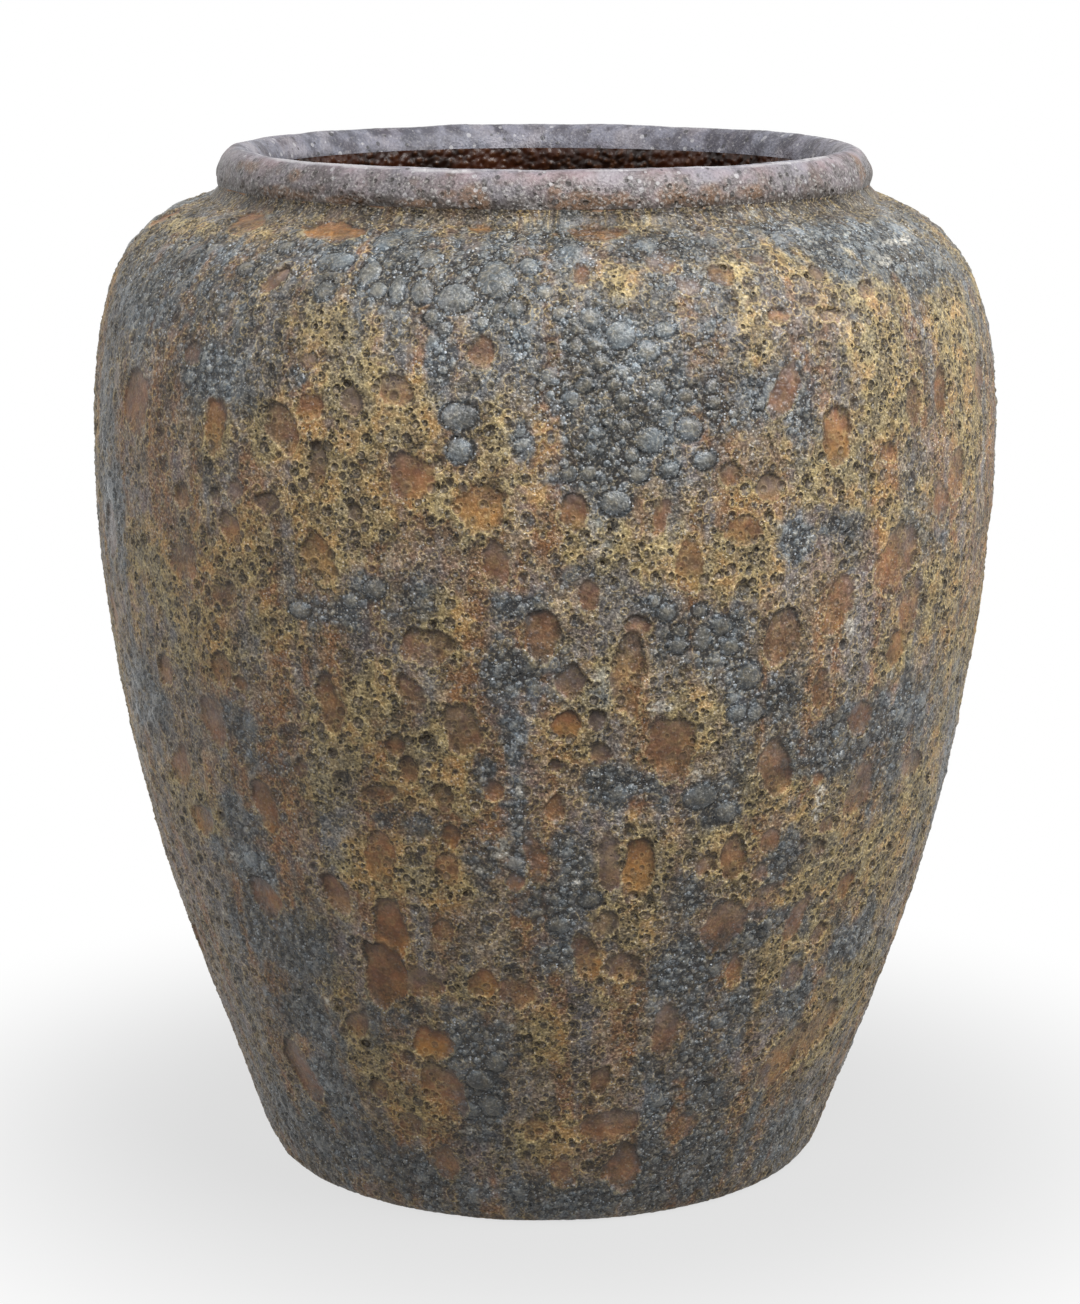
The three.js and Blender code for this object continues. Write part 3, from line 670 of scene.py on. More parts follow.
# %% [markdown]
# ## The coat as closed rings
# The relief needs about 700,000 faces, and one piece should stay under 200,000 triangles, so the coat is
# made in eight rings, and the rim's glaze is the ninth. A ring starts as a flat bmesh grid. Its columns
# roll up round the axis, and its rows go up the outer face and back down the inner one, so the rolled
# grid closes on itself and only has to be merged at its joins. Neighbouring rings share their edge
# points. Their normals are set from the whole surface, so no join shows.


# %% Work out every point and normal of the outer face
def turned(path, out, turns):
    """Points in metres of a path turned round the axis, each pushed out by so many millimetres."""
    steps = np.gradient(path, axis=0)
    steps /= np.hypot(*steps.T)[:, None]
    radius = path[:, :1] + steps[:, 1:] * out
    rise = path[:, 1:] - steps[:, :1] * out
    radius, rise = np.broadcast_arrays(radius + 0 * turns, rise + 0 * turns)
    return np.stack([radius * np.sin(turns), -radius * np.cos(turns), rise], axis=2) * MM


def facings(points):
    """The outward normal at every point of a turned face."""
    across = np.roll(points, -1, axis=1) - np.roll(points, 1, axis=1)
    normals = np.cross(across, np.gradient(points, axis=0))
    return normals / np.linalg.norm(normals, axis=2, keepdims=True)


face_points = turned(outline, height, phi)
GROUND_GAP = 0.5 * MM
face_points[:, :, 2] = np.maximum(face_points[:, :, 2], GROUND_GAP)
face_normals = facings(face_points)
print("face points", face_points.shape)


# %% Define how a ring is rolled and painted
def rolled_ring(name, rows, row_normals):
    """A closed ring from rows of points: each row goes round the axis, and the last row joins the first."""
    count, columns = rows.shape[:2]
    grid = bmesh.new()
    bmesh.ops.create_grid(grid, x_segments=columns, y_segments=count, size=0.5)
    mesh = bpy.data.meshes.new(name)
    flat = np.array([vertex.co for vertex in grid.verts])
    column = np.rint((flat[:, 0] + 0.5) * columns).astype(int) % columns
    row = np.rint((flat[:, 1] + 0.5) * count).astype(int) % count
    places = row * columns + column
    keep = grid.verts.layers.int.new("place")
    for vertex, spot, place in zip(grid.verts, rows[row, column].tolist(), places.tolist()):
        vertex.co = spot
        vertex[keep] = place
    bmesh.ops.remove_doubles(grid, verts=grid.verts, dist=1e-7)
    grid.to_mesh(mesh)
    grid.free()
    place = np.empty(len(mesh.vertices), np.int32)
    mesh.attributes["place"].data.foreach_get("value", place)
    mesh.attributes.remove(mesh.attributes["place"])
    mesh.polygons.foreach_set("use_smooth", np.ones(len(mesh.polygons), bool))
    mesh.normals_split_custom_set_from_vertices(row_normals.reshape(-1, 3)[place])
    ring = bpy.data.objects.new(name, mesh)
    scene.collection.objects.link(ring)
    return ring, place


def paint(ring, place, name, rows):
    """Stores one number a point on a ring, as an attribute that its material can read."""
    layer = ring.data.attributes.new(name, "FLOAT", "POINT")
    layer.data.foreach_set("value", rows.reshape(-1)[place].astype(np.float32))


def coat_ring(name, low, high, thickness, node, fields):
    """A ring of the coat from one row to another, which stands for a node of the CAD model."""
    back = np.rint(np.linspace(high, low, BACK_ROWS)).astype(int)
    back_points = turned(outline, -thickness, phi)[back]
    face = slice(low, high + 1)
    rows = np.concatenate([face_points[face], back_points])
    ring, place = rolled_ring(name, rows, np.concatenate([face_normals[face], -face_normals[back]]))
    for field_name, field in fields.items():
        paint(ring, place, field_name, np.concatenate([field[face], field[back]]))
    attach(ring, "root")
    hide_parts(node)
    return ring


# %% Roll up the eight rings of the body's coat
COAT = 4.0
BACK_ROWS = 6
RING_NAMES = ["heel", "foot", "shin", "waist", "belly", "chest", "shoulder", "neck"]
FIELDS = {
    "slate": slate, "foam": foam, "hollow_rim": hollow_rim, "hollow_force": hollow_force,
    "hollow_rise": hollow_rise, "hollow_tone": hollow_tone, "hollow_shadow_strength": hollow_shadow_strength, "gloom": gloom,
    "glow": glow, "run": run, "drip": drip, "streak": streak, "crust": crust, "pebble_gap": pebble_gap,
    "pebble_tone": pebble_tone, "bowl_rim": bowl_rim, "open_ground": open_ground, "painted_dip_shade": painted_dip_shade,
    "ridge": ridge, "chalk": chalk, "ash": ash, "pit_zone": pit_zone, "bead_zone": bead_zone,
    "halo": halo, "crease": crease, "under_rim_painted_shade": under_rim_painted_shade, "grit_zone": grit_zone, "smoke": smoke, "wash": wash,
}
body_rings = []
for band, ring_name in enumerate(RING_NAMES):
    low = band * BAND_ROWS
    name = "body_glaze_" + ring_name
    body_rings.append(coat_ring(name, low, low + BAND_ROWS, COAT, "body_glaze", FIELDS))
print(len(body_rings), "rings of", [len(ring.data.polygons) for ring in body_rings], "faces")

# %% [markdown]
# ## The rim's coat
# The rim is the ninth ring. A few marks are placed on it too: each gives its place across the
# photograph, how far over the rim it lies, from 0 at the crease to 1 inside, and its half size in both.

# %% Roll up the rim's coat
RIM_COAT = 2.0
RIM_MIDDLE = 544
RIM_HALF_WIDTH = 326
RIM_RUST = [
    (300, 0.06, 40, 0.09), (355, 0.04, 34, 0.06), (480, 0.13, 15, 0.16), (575, 0.08, 30, 0.10),
    (612, 0.10, 22, 0.08), (660, 0.16, 14, 0.12), (700, 0.10, 18, 0.14), (738, 0.14, 12, 0.10),
    (552, 0.22, 8, 0.08), (855, 0.22, 6, 0.22), (455, 0.17, 8, 0.05), (255, 0.34, 14, 0.10),
    (305, 0.30, 10, 0.10), (430, 0.05, 20, 0.06),
]
# Pale scuffs of wear on the crest; along the front they also stand for a painted highlight
RIM_SCUFFS_AND_HIGHLIGHTS = [
    (392, 0.50, 12, 0.020), (446, 0.48, 26, 0.024), (320, 0.54, 60, 0.06), (520, 0.52, 40, 0.012),
    (770, 0.5, 40, 0.03), (700, 0.54, 30, 0.02), (250, 0.62, 30, 0.05), (820, 0.56, 16, 0.05),
    (620, 0.50, 30, 0.012),
]
rim_up = (up - RIM_START) / rim_along[-1]


def rim_marks(marks):
    """How strongly each point of the map lies inside marks on the front of the rim, with frayed edges."""
    field = np.zeros_like(around)
    for x, share, half_x, half_share in marks:
        angle = math.asin((x - RIM_MIDDLE) / RIM_HALF_WIDTH)
        half_angle = half_x / RIM_HALF_WIDTH / math.cos(angle)
        turns = (phi - angle + math.pi) % (2 * math.pi) - math.pi
        inside = np.hypot(turns / half_angle, (rim_up - share) / half_share) + 1.1 * fray
        field = np.maximum(field, smooth(1.2, 0.5, inside))
    return field


rim_back = smooth(1.2, 1.6, facing)
back_rust = rim_back * smooth(0.5, 0.9, drips) * smooth(0.3, 0.05, rim_up)
back_scuff = rim_back * smooth(0.75, 1.0, drips) * smooth(0.12, 0.02, np.abs(rim_up - 0.5))
rim_rust = np.maximum(rim_marks(RIM_RUST), back_rust)
rim_scuff_and_highlight = np.maximum(rim_marks(RIM_SCUFFS_AND_HIGHLIGHTS), back_scuff)
RIM_FIELDS = {
    "rim_up": rim_up, "painted_dip_shade": painted_dip_shade, "crease": crease, "rim_rust": rim_rust, "rim_scuff_and_highlight": rim_scuff_and_highlight,
}
first_row, last_row = BODY_ROWS - 1, len(outline) - 1
rim_ring = coat_ring("rim_glaze_ring", first_row, last_row, RIM_COAT, "rim_glaze", RIM_FIELDS)
print("rim coat has", len(rim_ring.data.polygons), "faces")

# %% [markdown]
# ## The liner
# Inside, a glossy brown glaze runs from the rim's inner edge over the throat and down to the drain hole.
# Its path is worked out as in the CAD model: the wall's curve is set in by the coat, the clay and the
# slip between them, with a soft corner at the floor and another at the throat. The coat on it is a ring
# like the others. Only the throat is seen from outside, so its rows are close together there and wider
# below.


# %% Set the liner's path in from the wall
def set_in(path, depth):
    """A path moved to its left, which is inward for one that goes up the wall."""
    steps = np.gradient(path, axis=0)
    steps /= np.hypot(*steps.T)[:, None]
    return path + depth * np.stack([-steps[:, 1], steps[:, 0]], axis=1)


def soft_corner(points, depth):
    """Four points round a soft corner, set in by the given depth."""
    return set_in(bezier(points, 301), depth)[::100]


CLAY = 16.0
SLIP = 0.3
LINER_COAT = 2.0
FLOOR_HEIGHT = 26.0
COVE = 24.0
NECK_WIDTH = 52.0
DRAIN_EDGE = 25.2
COURSE_STEPS = (2, 2, 3, 6)
CLAY_DEPTH = COAT + SLIP + CLAY
LINER_DEPTH = SLIP + LINER_COAT
fine_wall, fine_up = even(wall, 4001)
clay_face = set_in(fine_wall, CLAY_DEPTH)
lower_half = slice(len(fine_up) // 2)
seat = np.interp(FLOOR_HEIGHT, clay_face[lower_half, 1], fine_up[lower_half])
course = (fine_up[-1] - NECK_WIDTH - seat) / len(COURSE_STEPS)
wall_stops = []
for number, steps in enumerate(COURSE_STEPS):
    wall_stops += [seat + course * (number + step / steps) for step in range(1, steps + 1)]
wall_stops += [fine_up[-1] - NECK_WIDTH / 2, fine_up[-1]]
liner_face = set_in(fine_wall, CLAY_DEPTH + LINER_DEPTH)
slip_face = set_in(fine_wall, CLAY_DEPTH + SLIP)
on_wall = np.stack([np.interp(wall_stops, fine_up, liner_face[:, k]) for k in (0, 1)], axis=1)
low, high = np.stack([np.interp([seat, wall_stops[0]], fine_up, slip_face[:, k]) for k in (0, 1)], axis=1)
lean = (high - low) / np.hypot(*(high - low))
corner = low + lean * (FLOOR_HEIGHT + SLIP - low[1]) / lean[1]
cove = soft_corner([corner - (COVE, 0), corner, corner + COVE * lean], LINER_DEPTH)
slope = fine_wall[-1] - fine_wall[-2]
slope /= np.hypot(*slope)
edge = clay_face[-1] + slope * (MOUTH_RADIUS + LINER_DEPTH - clay_face[-1, 0]) / slope[0]
bend = (set_in(fine_wall, COAT + SLIP)[-1, 1] - edge[1]) / 2
throat = soft_corner([edge - bend * slope, edge, edge + (0, bend)], LINER_DEPTH)
drain = [(DRAIN_EDGE, cove[0, 1])]
mouth = [(MOUTH_RADIUS, RIM_CENTRE[1]), rim_outline[-1]]
liner_path = np.concatenate([drain, cove, on_wall, throat, mouth])[::-1]
print("liner path of", len(liner_path), "points, with its throat", round(throat[-1, 1]), "mm up")

# %% Roll up the liner
LINER_COLUMNS = 600
fine_path, fine_along = even(liner_path, 1000)
THROAT = 70.0
stations = np.concatenate([np.linspace(0, THROAT, 41), np.linspace(THROAT, fine_along[-1], 95)[1:]])
liner_outline = np.stack([np.interp(stations, fine_along, fine_path[:, k]) for k in (0, 1)], axis=1)
liner_phi = np.arange(LINER_COLUMNS) * 2 * math.pi / LINER_COLUMNS
liner_around, liner_up = np.meshgrid(liner_phi * MAP_RADIUS, stations)
lumps = np.zeros_like(liner_around)
LUMP_SPACING = 8
liner_stretch = liner_outline[:, :1] / MAP_RADIUS
for du, dv, spot in scattered(liner_around, liner_up, liner_stretch, LUMP_SPACING, 301):
    radius = LUMP_SPACING * (0.25 + 0.3 * hashed(*spot, 303))
    dome = np.sqrt(np.clip(1 - np.hypot(du, dv) ** 2 / radius**2, 0, 1))
    lumps = np.maximum(lumps, dome * 0.35 * radius)
liner_height = smooth(0, 5, liner_up) * (0.7 * lumps + 0.5 * noise(liner_around, liner_up, 26, 26, 311))
liner_height *= smooth(fine_along[-1], fine_along[-1] - 20, liner_up)
liner_points = turned(liner_outline, liner_height, liner_phi)
liner_normals = facings(liner_points)
liner_back = np.arange(len(stations) - 1, -1, -5)
liner_rows = np.concatenate([liner_points, turned(liner_outline, -LINER_COAT, liner_phi)[liner_back]])
liner_ring, _ = rolled_ring(
    "liner_glaze_ring", liner_rows, np.concatenate([liner_normals, -liner_normals[liner_back]])
)
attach(liner_ring, "root")
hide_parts("liner_glaze")
print("liner has", len(liner_ring.data.polygons), "faces")

# %% [markdown]
# ## A small kit for materials
# Colours are written as the hex values that a painter would pick, and turned to linear light by one
# function. One more function adds a shader node, with its settings and its links. Patterns use Object
# coordinates in metres, so a pattern of 5 mm has a scale of 1 / 0.005.


# %% Define the material kit
def linear(code):
    """A hex colour such as 8a5a2c as linear RGBA."""
    channels = [int(code[k : k + 2], 16) / 255 for k in (0, 2, 4)]
    return [c / 12.92 if c <= 0.04045 else ((c + 0.055) / 1.055) ** 2.4 for c in channels] + [1.0]


def add(tree, kind, inputs, **settings):
    """Adds one shader node. Inputs are numbers, colours or the outputs of other nodes."""
    new = tree.nodes.new("ShaderNode" + kind)
    for name, value in settings.items():
        setattr(new, name, value)
    for name, value in inputs.items():
        if isinstance(value, bpy.types.NodeSocket):
            tree.links.new(value, new.inputs[name])
        else:
            new.inputs[name].default_value = value
    return new


def blank(name):
    """A new material, its node tree, its Principled shader and its Object coordinates."""
    material = bpy.data.materials.new(name)
    material.use_nodes = True
    tree = material.node_tree
    return material, tree, tree.nodes["Principled BSDF"], add(tree, "TexCoord", {}).outputs["Object"]


def layered(tree, colour, layers):
    """Lays colours over each other. A layer gives its mask, the share of it that covers, and its colour."""
    for cover, share, top in layers:
        cover = add(tree, "Math", {0: cover, 1: share}, operation="MULTIPLY").outputs[0]
        colour = add(tree, "Mix", {0: cover, 6: colour, 7: top}, data_type="RGBA").outputs[2]
    return colour


print("rust in linear light:", [round(c, 3) for c in linear("8a5228")])

# %% [markdown]
# ## The lava glaze
# One material serves all eight rings. It starts from a grainy brown, and lays each kind of glaze over it
# by its attribute: mustard foam, slate crust, bubble caps and hollow floors. Fine pinholes and crystals
# are smaller than the mesh can hold, so they are drawn in the shader, as colour and as bump. The glints of
# the crystals are painted highlights.

# %% Draw the lava glaze's grain
# A foamed iron and titanium glaze on stoneware: satin and grainy, with pinholes and small beads that glint.
# Part of the glint is painted: pale specks stand for highlights on tiny crystals
lava, tree, shader, place = blank("foamed_lava_glaze")
field = {name: add(tree, "Attribute", {}, attribute_name=name).outputs["Fac"] for name in FIELDS}
pattern = {}
for name, size, detail in (
    ("grit", 2.0, 1), ("fine", 3.4, 3), ("blot", 7, 3), ("mottle", 13, 4), ("patch", 26, 2),
    ("cloud", 55, 3),
):
    inputs = {"Vector": place, "Scale": 1 / (size * MM), "Detail": detail}
    pattern[name] = add(tree, "TexNoise", inputs).outputs["Fac"]
for name, fines, blots, mottles in (
    ("slate", 0, 2.0, 1.4), ("foam", 0, 2.0, 1.4), ("hollow_rim", 4, 5, 0), ("bowl_rim", 1.5, 1, 0),
):
    pattern[name] = field[name]
    for other, grain in (("fine", fines), ("blot", blots), ("mottle", mottles)):
        inputs = {0: pattern[other], 1: grain, 2: pattern[name]}
        pattern[name] = add(tree, "Math", inputs, operation="MULTIPLY_ADD").outputs[0]
for name, middle in (("hollow_rim", 3.6), ("hollow_rim", 5.4), ("bowl_rim", 1.9)):
    edge = add(tree, "Math", {0: pattern[name], 1: middle}, operation="SUBTRACT").outputs[0]
    pattern[name, middle] = add(tree, "Math", {0: edge}, operation="ABSOLUTE").outputs[0]
mask = {}
for name, value, low, high in (
    ("mottle", pattern["mottle"], 0.36, 0.64),
    ("cloud", pattern["cloud"], 0.46, 0.6),
    ("fine", pattern["fine"], 0.35, 0.65),
    ("pale_grit", pattern["grit"], 0.54, 0.68),
    ("dark_grit", pattern["grit"], 0.46, 0.32),
    ("blot", pattern["blot"], 0.42, 0.62),
    ("slate", pattern["slate"], 1.85, 2.55),
    ("foam", pattern["foam"], 1.75, 2.5),
    ("hollow", pattern["hollow_rim"], 5.1, 4.0),
    # Rings on each hollow's edge: a painted shadow above and a painted highlight below
    ("hollow_shade", pattern["hollow_rim", 3.6], 1.6, 0.3),
    ("hollow_lip_highlight", pattern["hollow_rim", 5.4], 1.2, 0.2),
    ("upper", field["hollow_rise"], -0.3, 0.5),
    ("under", field["hollow_rise"], 0.2, -0.6),
    ("bowl", pattern["bowl_rim"], 1.5, 0.9),
    ("bowl_lip", pattern["bowl_rim", 1.9], 0.7, 0.1),
    ("pebble", field["pebble_gap"], 0.1, 0.8),
    ("painted_gap_shade", field["pebble_gap"], 0.7, 0.1),
    ("blue", pattern["cloud"], 0.5, 0.62),
    ("stain", field["streak"], 0.1, 0.9),
    ("shade", field["streak"], -0.2, -0.9),
    ("rust_drip", field["drip"], 0.1, 0.7),
    ("grey_drip", field["drip"], -0.1, -0.7),
    ("warm_patch", pattern["patch"], 0.5, 0.6),
    ("drab_patch", pattern["patch"], 0.5, 0.4),
    ("rust", field["hollow_tone"], 0.1, 0.5),
    ("mauve", field["hollow_tone"], 0.55, 0.95),
):
    inputs = {"Value": value, "From Min": low, "From Max": high}
    mask[name] = add(tree, "MapRange", inputs, interpolation_type="SMOOTHSTEP").outputs["Result"]
print("lava grain:", ", ".join(mask))


# %% Draw its pinholes, beads and painted glints
def ball_discs(tree, place, mask, layers):
    """Adds layers of scattered balls to the masks. The surface cuts the balls into discs.

    A layer gives its name, its spacing in millimetres, the least and greatest radius as a share of that
    spacing, the share of balls that are kept, and where it shows. Each gets a mask for its discs, and more
    for their edge, a ring inside it, a dome and a random tone.
    """
    for name, spacing, low, high, share, zone in layers:
        cells = add(tree, "TexVoronoi", {"Vector": place, "Scale": 1 / (spacing * MM)})
        luck = add(tree, "SeparateColor", {0: cells.outputs["Color"]}).outputs
        radius = add(tree, "Math", {0: luck[0], 1: high - low, 2: low}, operation="MULTIPLY_ADD").outputs[0]
        away = add(tree, "Math", {0: cells.outputs["Distance"], 1: radius}, operation="DIVIDE").outputs[0]
        chosen = add(tree, "Math", {0: luck[1], 1: share}, operation="LESS_THAN").outputs[0]
        chosen = add(tree, "Math", {0: chosen, 1: zone}, operation="MULTIPLY").outputs[0]
        edge = add(tree, "Math", {0: away, 1: 1.12}, operation="SUBTRACT").outputs[0]
        edge = add(tree, "Math", {0: edge}, operation="ABSOLUTE").outputs[0]
        mask[name + "_tone"] = luck[2]
        ring = add(tree, "Math", {0: away, 1: 0.9}, operation="SUBTRACT").outputs[0]
        ring = add(tree, "Math", {0: ring}, operation="ABSOLUTE").outputs[0]
        for part, value, first, last in (
            ("", away, 1.0, 0.82),
            ("_edge", edge, 0.3, 0.05),
            ("_ring", ring, 0.2, 0.05),
            ("_dome", away, 1.05, 0.1),
        ):
            inputs = {"Value": value, "From Min": first, "From Max": last}
            inside = add(tree, "MapRange", inputs, interpolation_type="SMOOTHSTEP").outputs["Result"]
            mask[name + part] = add(tree, "Math", {0: inside, 1: chosen}, operation="MULTIPLY").outputs[0]


ball_discs(tree, place, mask, (
    ("froth", 9.5, 0.18, 0.50, 0.65, field["pit_zone"]),
    ("pinhole", 5.2, 0.15, 0.46, 0.7, field["pit_zone"]),
    ("bead", 8.0, 0.25, 0.52, 0.9, field["bead_zone"]),
    ("seed", 4.4, 0.20, 0.50, 0.8, field["bead_zone"]),
))
# Pale specks that stand for glints of light, as painted highlights and as bump
painted_glint = add(tree, "TexVoronoi", {"Vector": place, "Scale": 1 / (2.3 * MM)})
glint_luck = add(tree, "SeparateColor", {0: painted_glint.outputs["Color"]}).outputs[0]
inputs = {0: glint_luck, 1: painted_glint.outputs["Distance"]}
glint_size = add(tree, "Math", inputs, operation="SUBTRACT").outputs[0]
inputs = {"Value": glint_size, "From Min": 0.54, "From Max": 0.68}
mask["painted_glint"] = add(tree, "MapRange", inputs).outputs["Result"]
mask["slate_painted_glint"] = mask["painted_glint"]
mask["chalk"] = field["chalk"]
for name, zone in (
    ("hollow", field["hollow_force"]),
    ("hollow_shade", field["hollow_shadow_strength"]),
    ("hollow_shade", mask["upper"]),
    ("hollow_lip_highlight", mask["under"]),
    ("bowl", field["open_ground"]),
    ("bowl_lip", field["open_ground"]),
    ("pebble", field["crust"]),
    ("painted_gap_shade", field["crust"]),
    ("blue", field["slate"]),
    ("slate_painted_glint", field["bead_zone"]),
    ("chalk", mask["fine"]),
    ("painted_glint", field["grit_zone"]),
    ("pale_grit", field["grit_zone"]),
    ("dark_grit", field["grit_zone"]),
):
    mask[name] = add(tree, "Math", {0: mask[name], 1: zone}, operation="MULTIPLY").outputs[0]
print("lava glaze has", len(tree.nodes), "nodes so far")

# %% Lay the lava glaze's colours over each other
tint = {}
for name, blend, first, second in (
    ("earth", mask["mottle"], linear("69594a"), linear("a3917b")),
    ("ash", mask["mottle"], linear("3d4044"), linear("70767b")),
    ("mustard", mask["mottle"], linear("87764e"), linear("c4af78")),
    ("slate", mask["mottle"], linear("22272b"), linear("474f56")),
    ("cap", field["pebble_tone"], linear("30373c"), linear("858d92")),
    ("orange", mask["mottle"], linear("82562a"), linear("a8743a")),
    ("rust", mask["mottle"], linear("6d4731"), linear("8a5d3e")),
    ("mauve", mask["mottle"], linear("5c4b44"), linear("78655d")),
    ("froth", mask["froth_tone"], linear("2f261c"), linear("786a5c")),
    ("bead", mask["bead_tone"], linear("343b41"), linear("8f99a0")),
    ("seed", mask["seed_tone"], linear("2d3135"), linear("a6aeb5")),
):
    tint[name] = add(tree, "Mix", {0: blend, 6: first, 7: second}, data_type="RGBA").outputs[2]
blots = add(tree, "Math", {0: mask["blot"], 1: 0.3}, operation="MULTIPLY").outputs[0]
floor_tint = tint["orange"]
for cover, top in ((mask["rust"], tint["rust"]), (mask["mauve"], tint["mauve"]), (blots, linear("8a6f45"))):
    floor_tint = add(tree, "Mix", {0: cover, 6: floor_tint, 7: top}, data_type="RGBA").outputs[2]
tint["mustard"] = layered(tree, tint["mustard"], (
    (mask["warm_patch"], 0.6, linear("a06f33")),
    (mask["drab_patch"], 0.4, linear("a0957a")),
))
colour = layered(tree, tint["earth"], (
    (mask["cloud"], 0.5, linear("8d7f82")),
    (field["ash"], 0.75, tint["ash"]),
    (field["gloom"], 0.45, linear("2e3236")),
    (field["glow"], 0.4, linear("96713a")),
    (field["halo"], 0.35, linear("7d5530")),
    (mask["stain"], 0.5, linear("865a30")),
    (mask["shade"], 0.45, linear("55575a")),
    (mask["rust_drip"], 0.65, linear("8d5d32")),
    (mask["grey_drip"], 0.6, linear("70757a")),
    (mask["foam"], 0.75, tint["mustard"]),
    (mask["rust_drip"], 0.12, linear("8d5d32")),
    (field["run"], 0.45, linear("8d5d32")),
    # painted shade on the band under the rim
    (field["under_rim_painted_shade"], 0.6, linear("4e453c")),
    (mask["slate"], 0.7, tint["slate"]),
    (mask["pebble"], 0.65, tint["cap"]),
    (mask["blue"], 0.35, linear("8093a2")),
    (field["wash"], 0.45, linear("8f9da8")),
    (field["smoke"], 0.4, linear("2b2d2f")),
    # painted shade in the gaps between the crust's bubbles
    (mask["painted_gap_shade"], 0.6, linear("191b1d")),
    (mask["hollow"], 0.9, floor_tint),
    # painted shade in the crease under the rim
    (field["crease"], 0.7, linear("3c332c")),
    # painted highlight on what stands above its surroundings
    (field["ridge"], 0.35, linear("b0a282")),
    (mask["bowl_lip"], 0.5, linear("bda56e")),
    (mask["bowl"], 0.6, linear("463c34")),
    # painted shade in the dips of the relief
    (field["painted_dip_shade"], 0.7, linear("1d1814")),
    # painted shadow on each hollow's upper edge, and a painted highlight on its lower lip
    (mask["hollow_shade"], 0.9, linear("21170f")),
    (mask["hollow_lip_highlight"], 0.42, linear("c0aa78")),
    (mask["froth_edge"], 0.45, linear("b09c6c")),
    (mask["froth"], 0.75, tint["froth"]),
    (mask["froth_ring"], 0.6, linear("2b1f12")),
    (mask["pinhole_edge"], 0.42, linear("bfaa78")),
    (mask["pinhole"], 0.85, linear("291c0e")),
    (mask["bead_edge"], 0.6, linear("1f1d1b")),
    (mask["bead"], 0.6, tint["bead"]),
    (mask["seed_edge"], 0.5, linear("26231f")),
    (mask["seed"], 0.6, tint["seed"]),
    (mask["pale_grit"], 0.16, linear("ccc0a8")),
    (mask["dark_grit"], 0.26, linear("2a1e12")),
    # painted glints: pale specks that stand for highlights
    (mask["painted_glint"], 0.32, linear("d6cdbd")),
    (mask["slate_painted_glint"], 0.45, linear("ccdaea")),
    (mask["chalk"], 0.8, linear("c6c1b5")),
))
light = add(tree, "Math", {0: pattern["grit"], 1: 2.6, 2: -1.3}, operation="MULTIPLY_ADD").outputs[0]
light = add(tree, "Math", {0: light, 1: field["grit_zone"], 2: -0.45}, operation="MULTIPLY_ADD").outputs[0]
for name, share in (("fine", 0.7), ("patch", 1.7), ("cloud", 0.5)):
    light = add(tree, "Math", {0: pattern[name], 1: share, 2: light}, operation="MULTIPLY_ADD").outputs[0]
colour = add(tree, "VectorMath", {0: colour, "Scale": light}, operation="SCALE").outputs[0]
tree.links.new(colour, shader.inputs["Base Color"])
print("lava glaze has", len(tree.nodes), "nodes")

# %% Give the lava glaze its gloss and its fine bumps
shader.inputs["IOR"].default_value = 1.5
shader.inputs["Specular IOR Level"].default_value = 0.4
inputs = {"Value": field["slate"], "To Min": 0.5, "To Max": 0.22}
gloss = add(tree, "MapRange", inputs).outputs["Result"]
tree.links.new(gloss, shader.inputs["Roughness"])
crumbs = add(tree, "Math", {0: pattern["fine"], 1: 0.6}, operation="MULTIPLY").outputs[0]
for name, share in (
    ("froth_dome", -1.3), ("froth_edge", 0.3), ("pinhole_dome", -0.8), ("bead_dome", 1.1),
    ("seed_dome", 0.6), ("pale_grit", 0.2), ("painted_glint", 0.2),
):
    crumbs = add(tree, "Math", {0: mask[name], 1: share, 2: crumbs}, operation="MULTIPLY_ADD").outputs[0]
bump = add(tree, "Bump", {"Height": crumbs, "Distance": 1.8 * MM, "Strength": 0.9})
tree.links.new(bump.outputs["Normal"], shader.inputs["Normal"])
for ring in body_rings:
    ring.data.materials.append(lava)
print("lava glaze done with", len(tree.nodes), "nodes")

# %% [markdown]
# ## The rim's glaze
# On the rim the glaze was wiped thin and fired dry, so it is a smooth, mauve-grey satin on the crest. It
# turns grainy down the outer face, and brown where the thick coat of the body begins. Pale scuffs follow
# the crest, and along the front they also give it a painted highlight. The crease and the dips get painted
# shade.

# %% Mix the rim's glaze
# A thin, dry iron and rutile wash: soft sheen, lilac-grey, worn pale where hands and pots have rubbed it.
# Along the front crest the pale scuffs also stand for a painted highlight.
rim_wash, tree, shader, place = blank("dry_mauve_rim_wash")
field = {name: add(tree, "Attribute", {}, attribute_name=name).outputs["Fac"] for name in RIM_FIELDS}
pattern = {}
for name, size, detail in (
    ("grit", 2.2, 2), ("mottle", 15, 5), ("cloud", 60, 4),
    ("smear", 32, 6), ("stain", 21, 4), ("blue", 44, 4),
):
    inputs = {"Vector": place, "Scale": 1 / (size * MM), "Detail": detail}
    pattern[name] = add(tree, "TexNoise", inputs).outputs["Fac"]
inputs = {0: pattern["mottle"], 1: 0.5, 2: field["rim_up"]}
frayed = add(tree, "Math", inputs, operation="MULTIPLY_ADD").outputs[0]
mask = {}
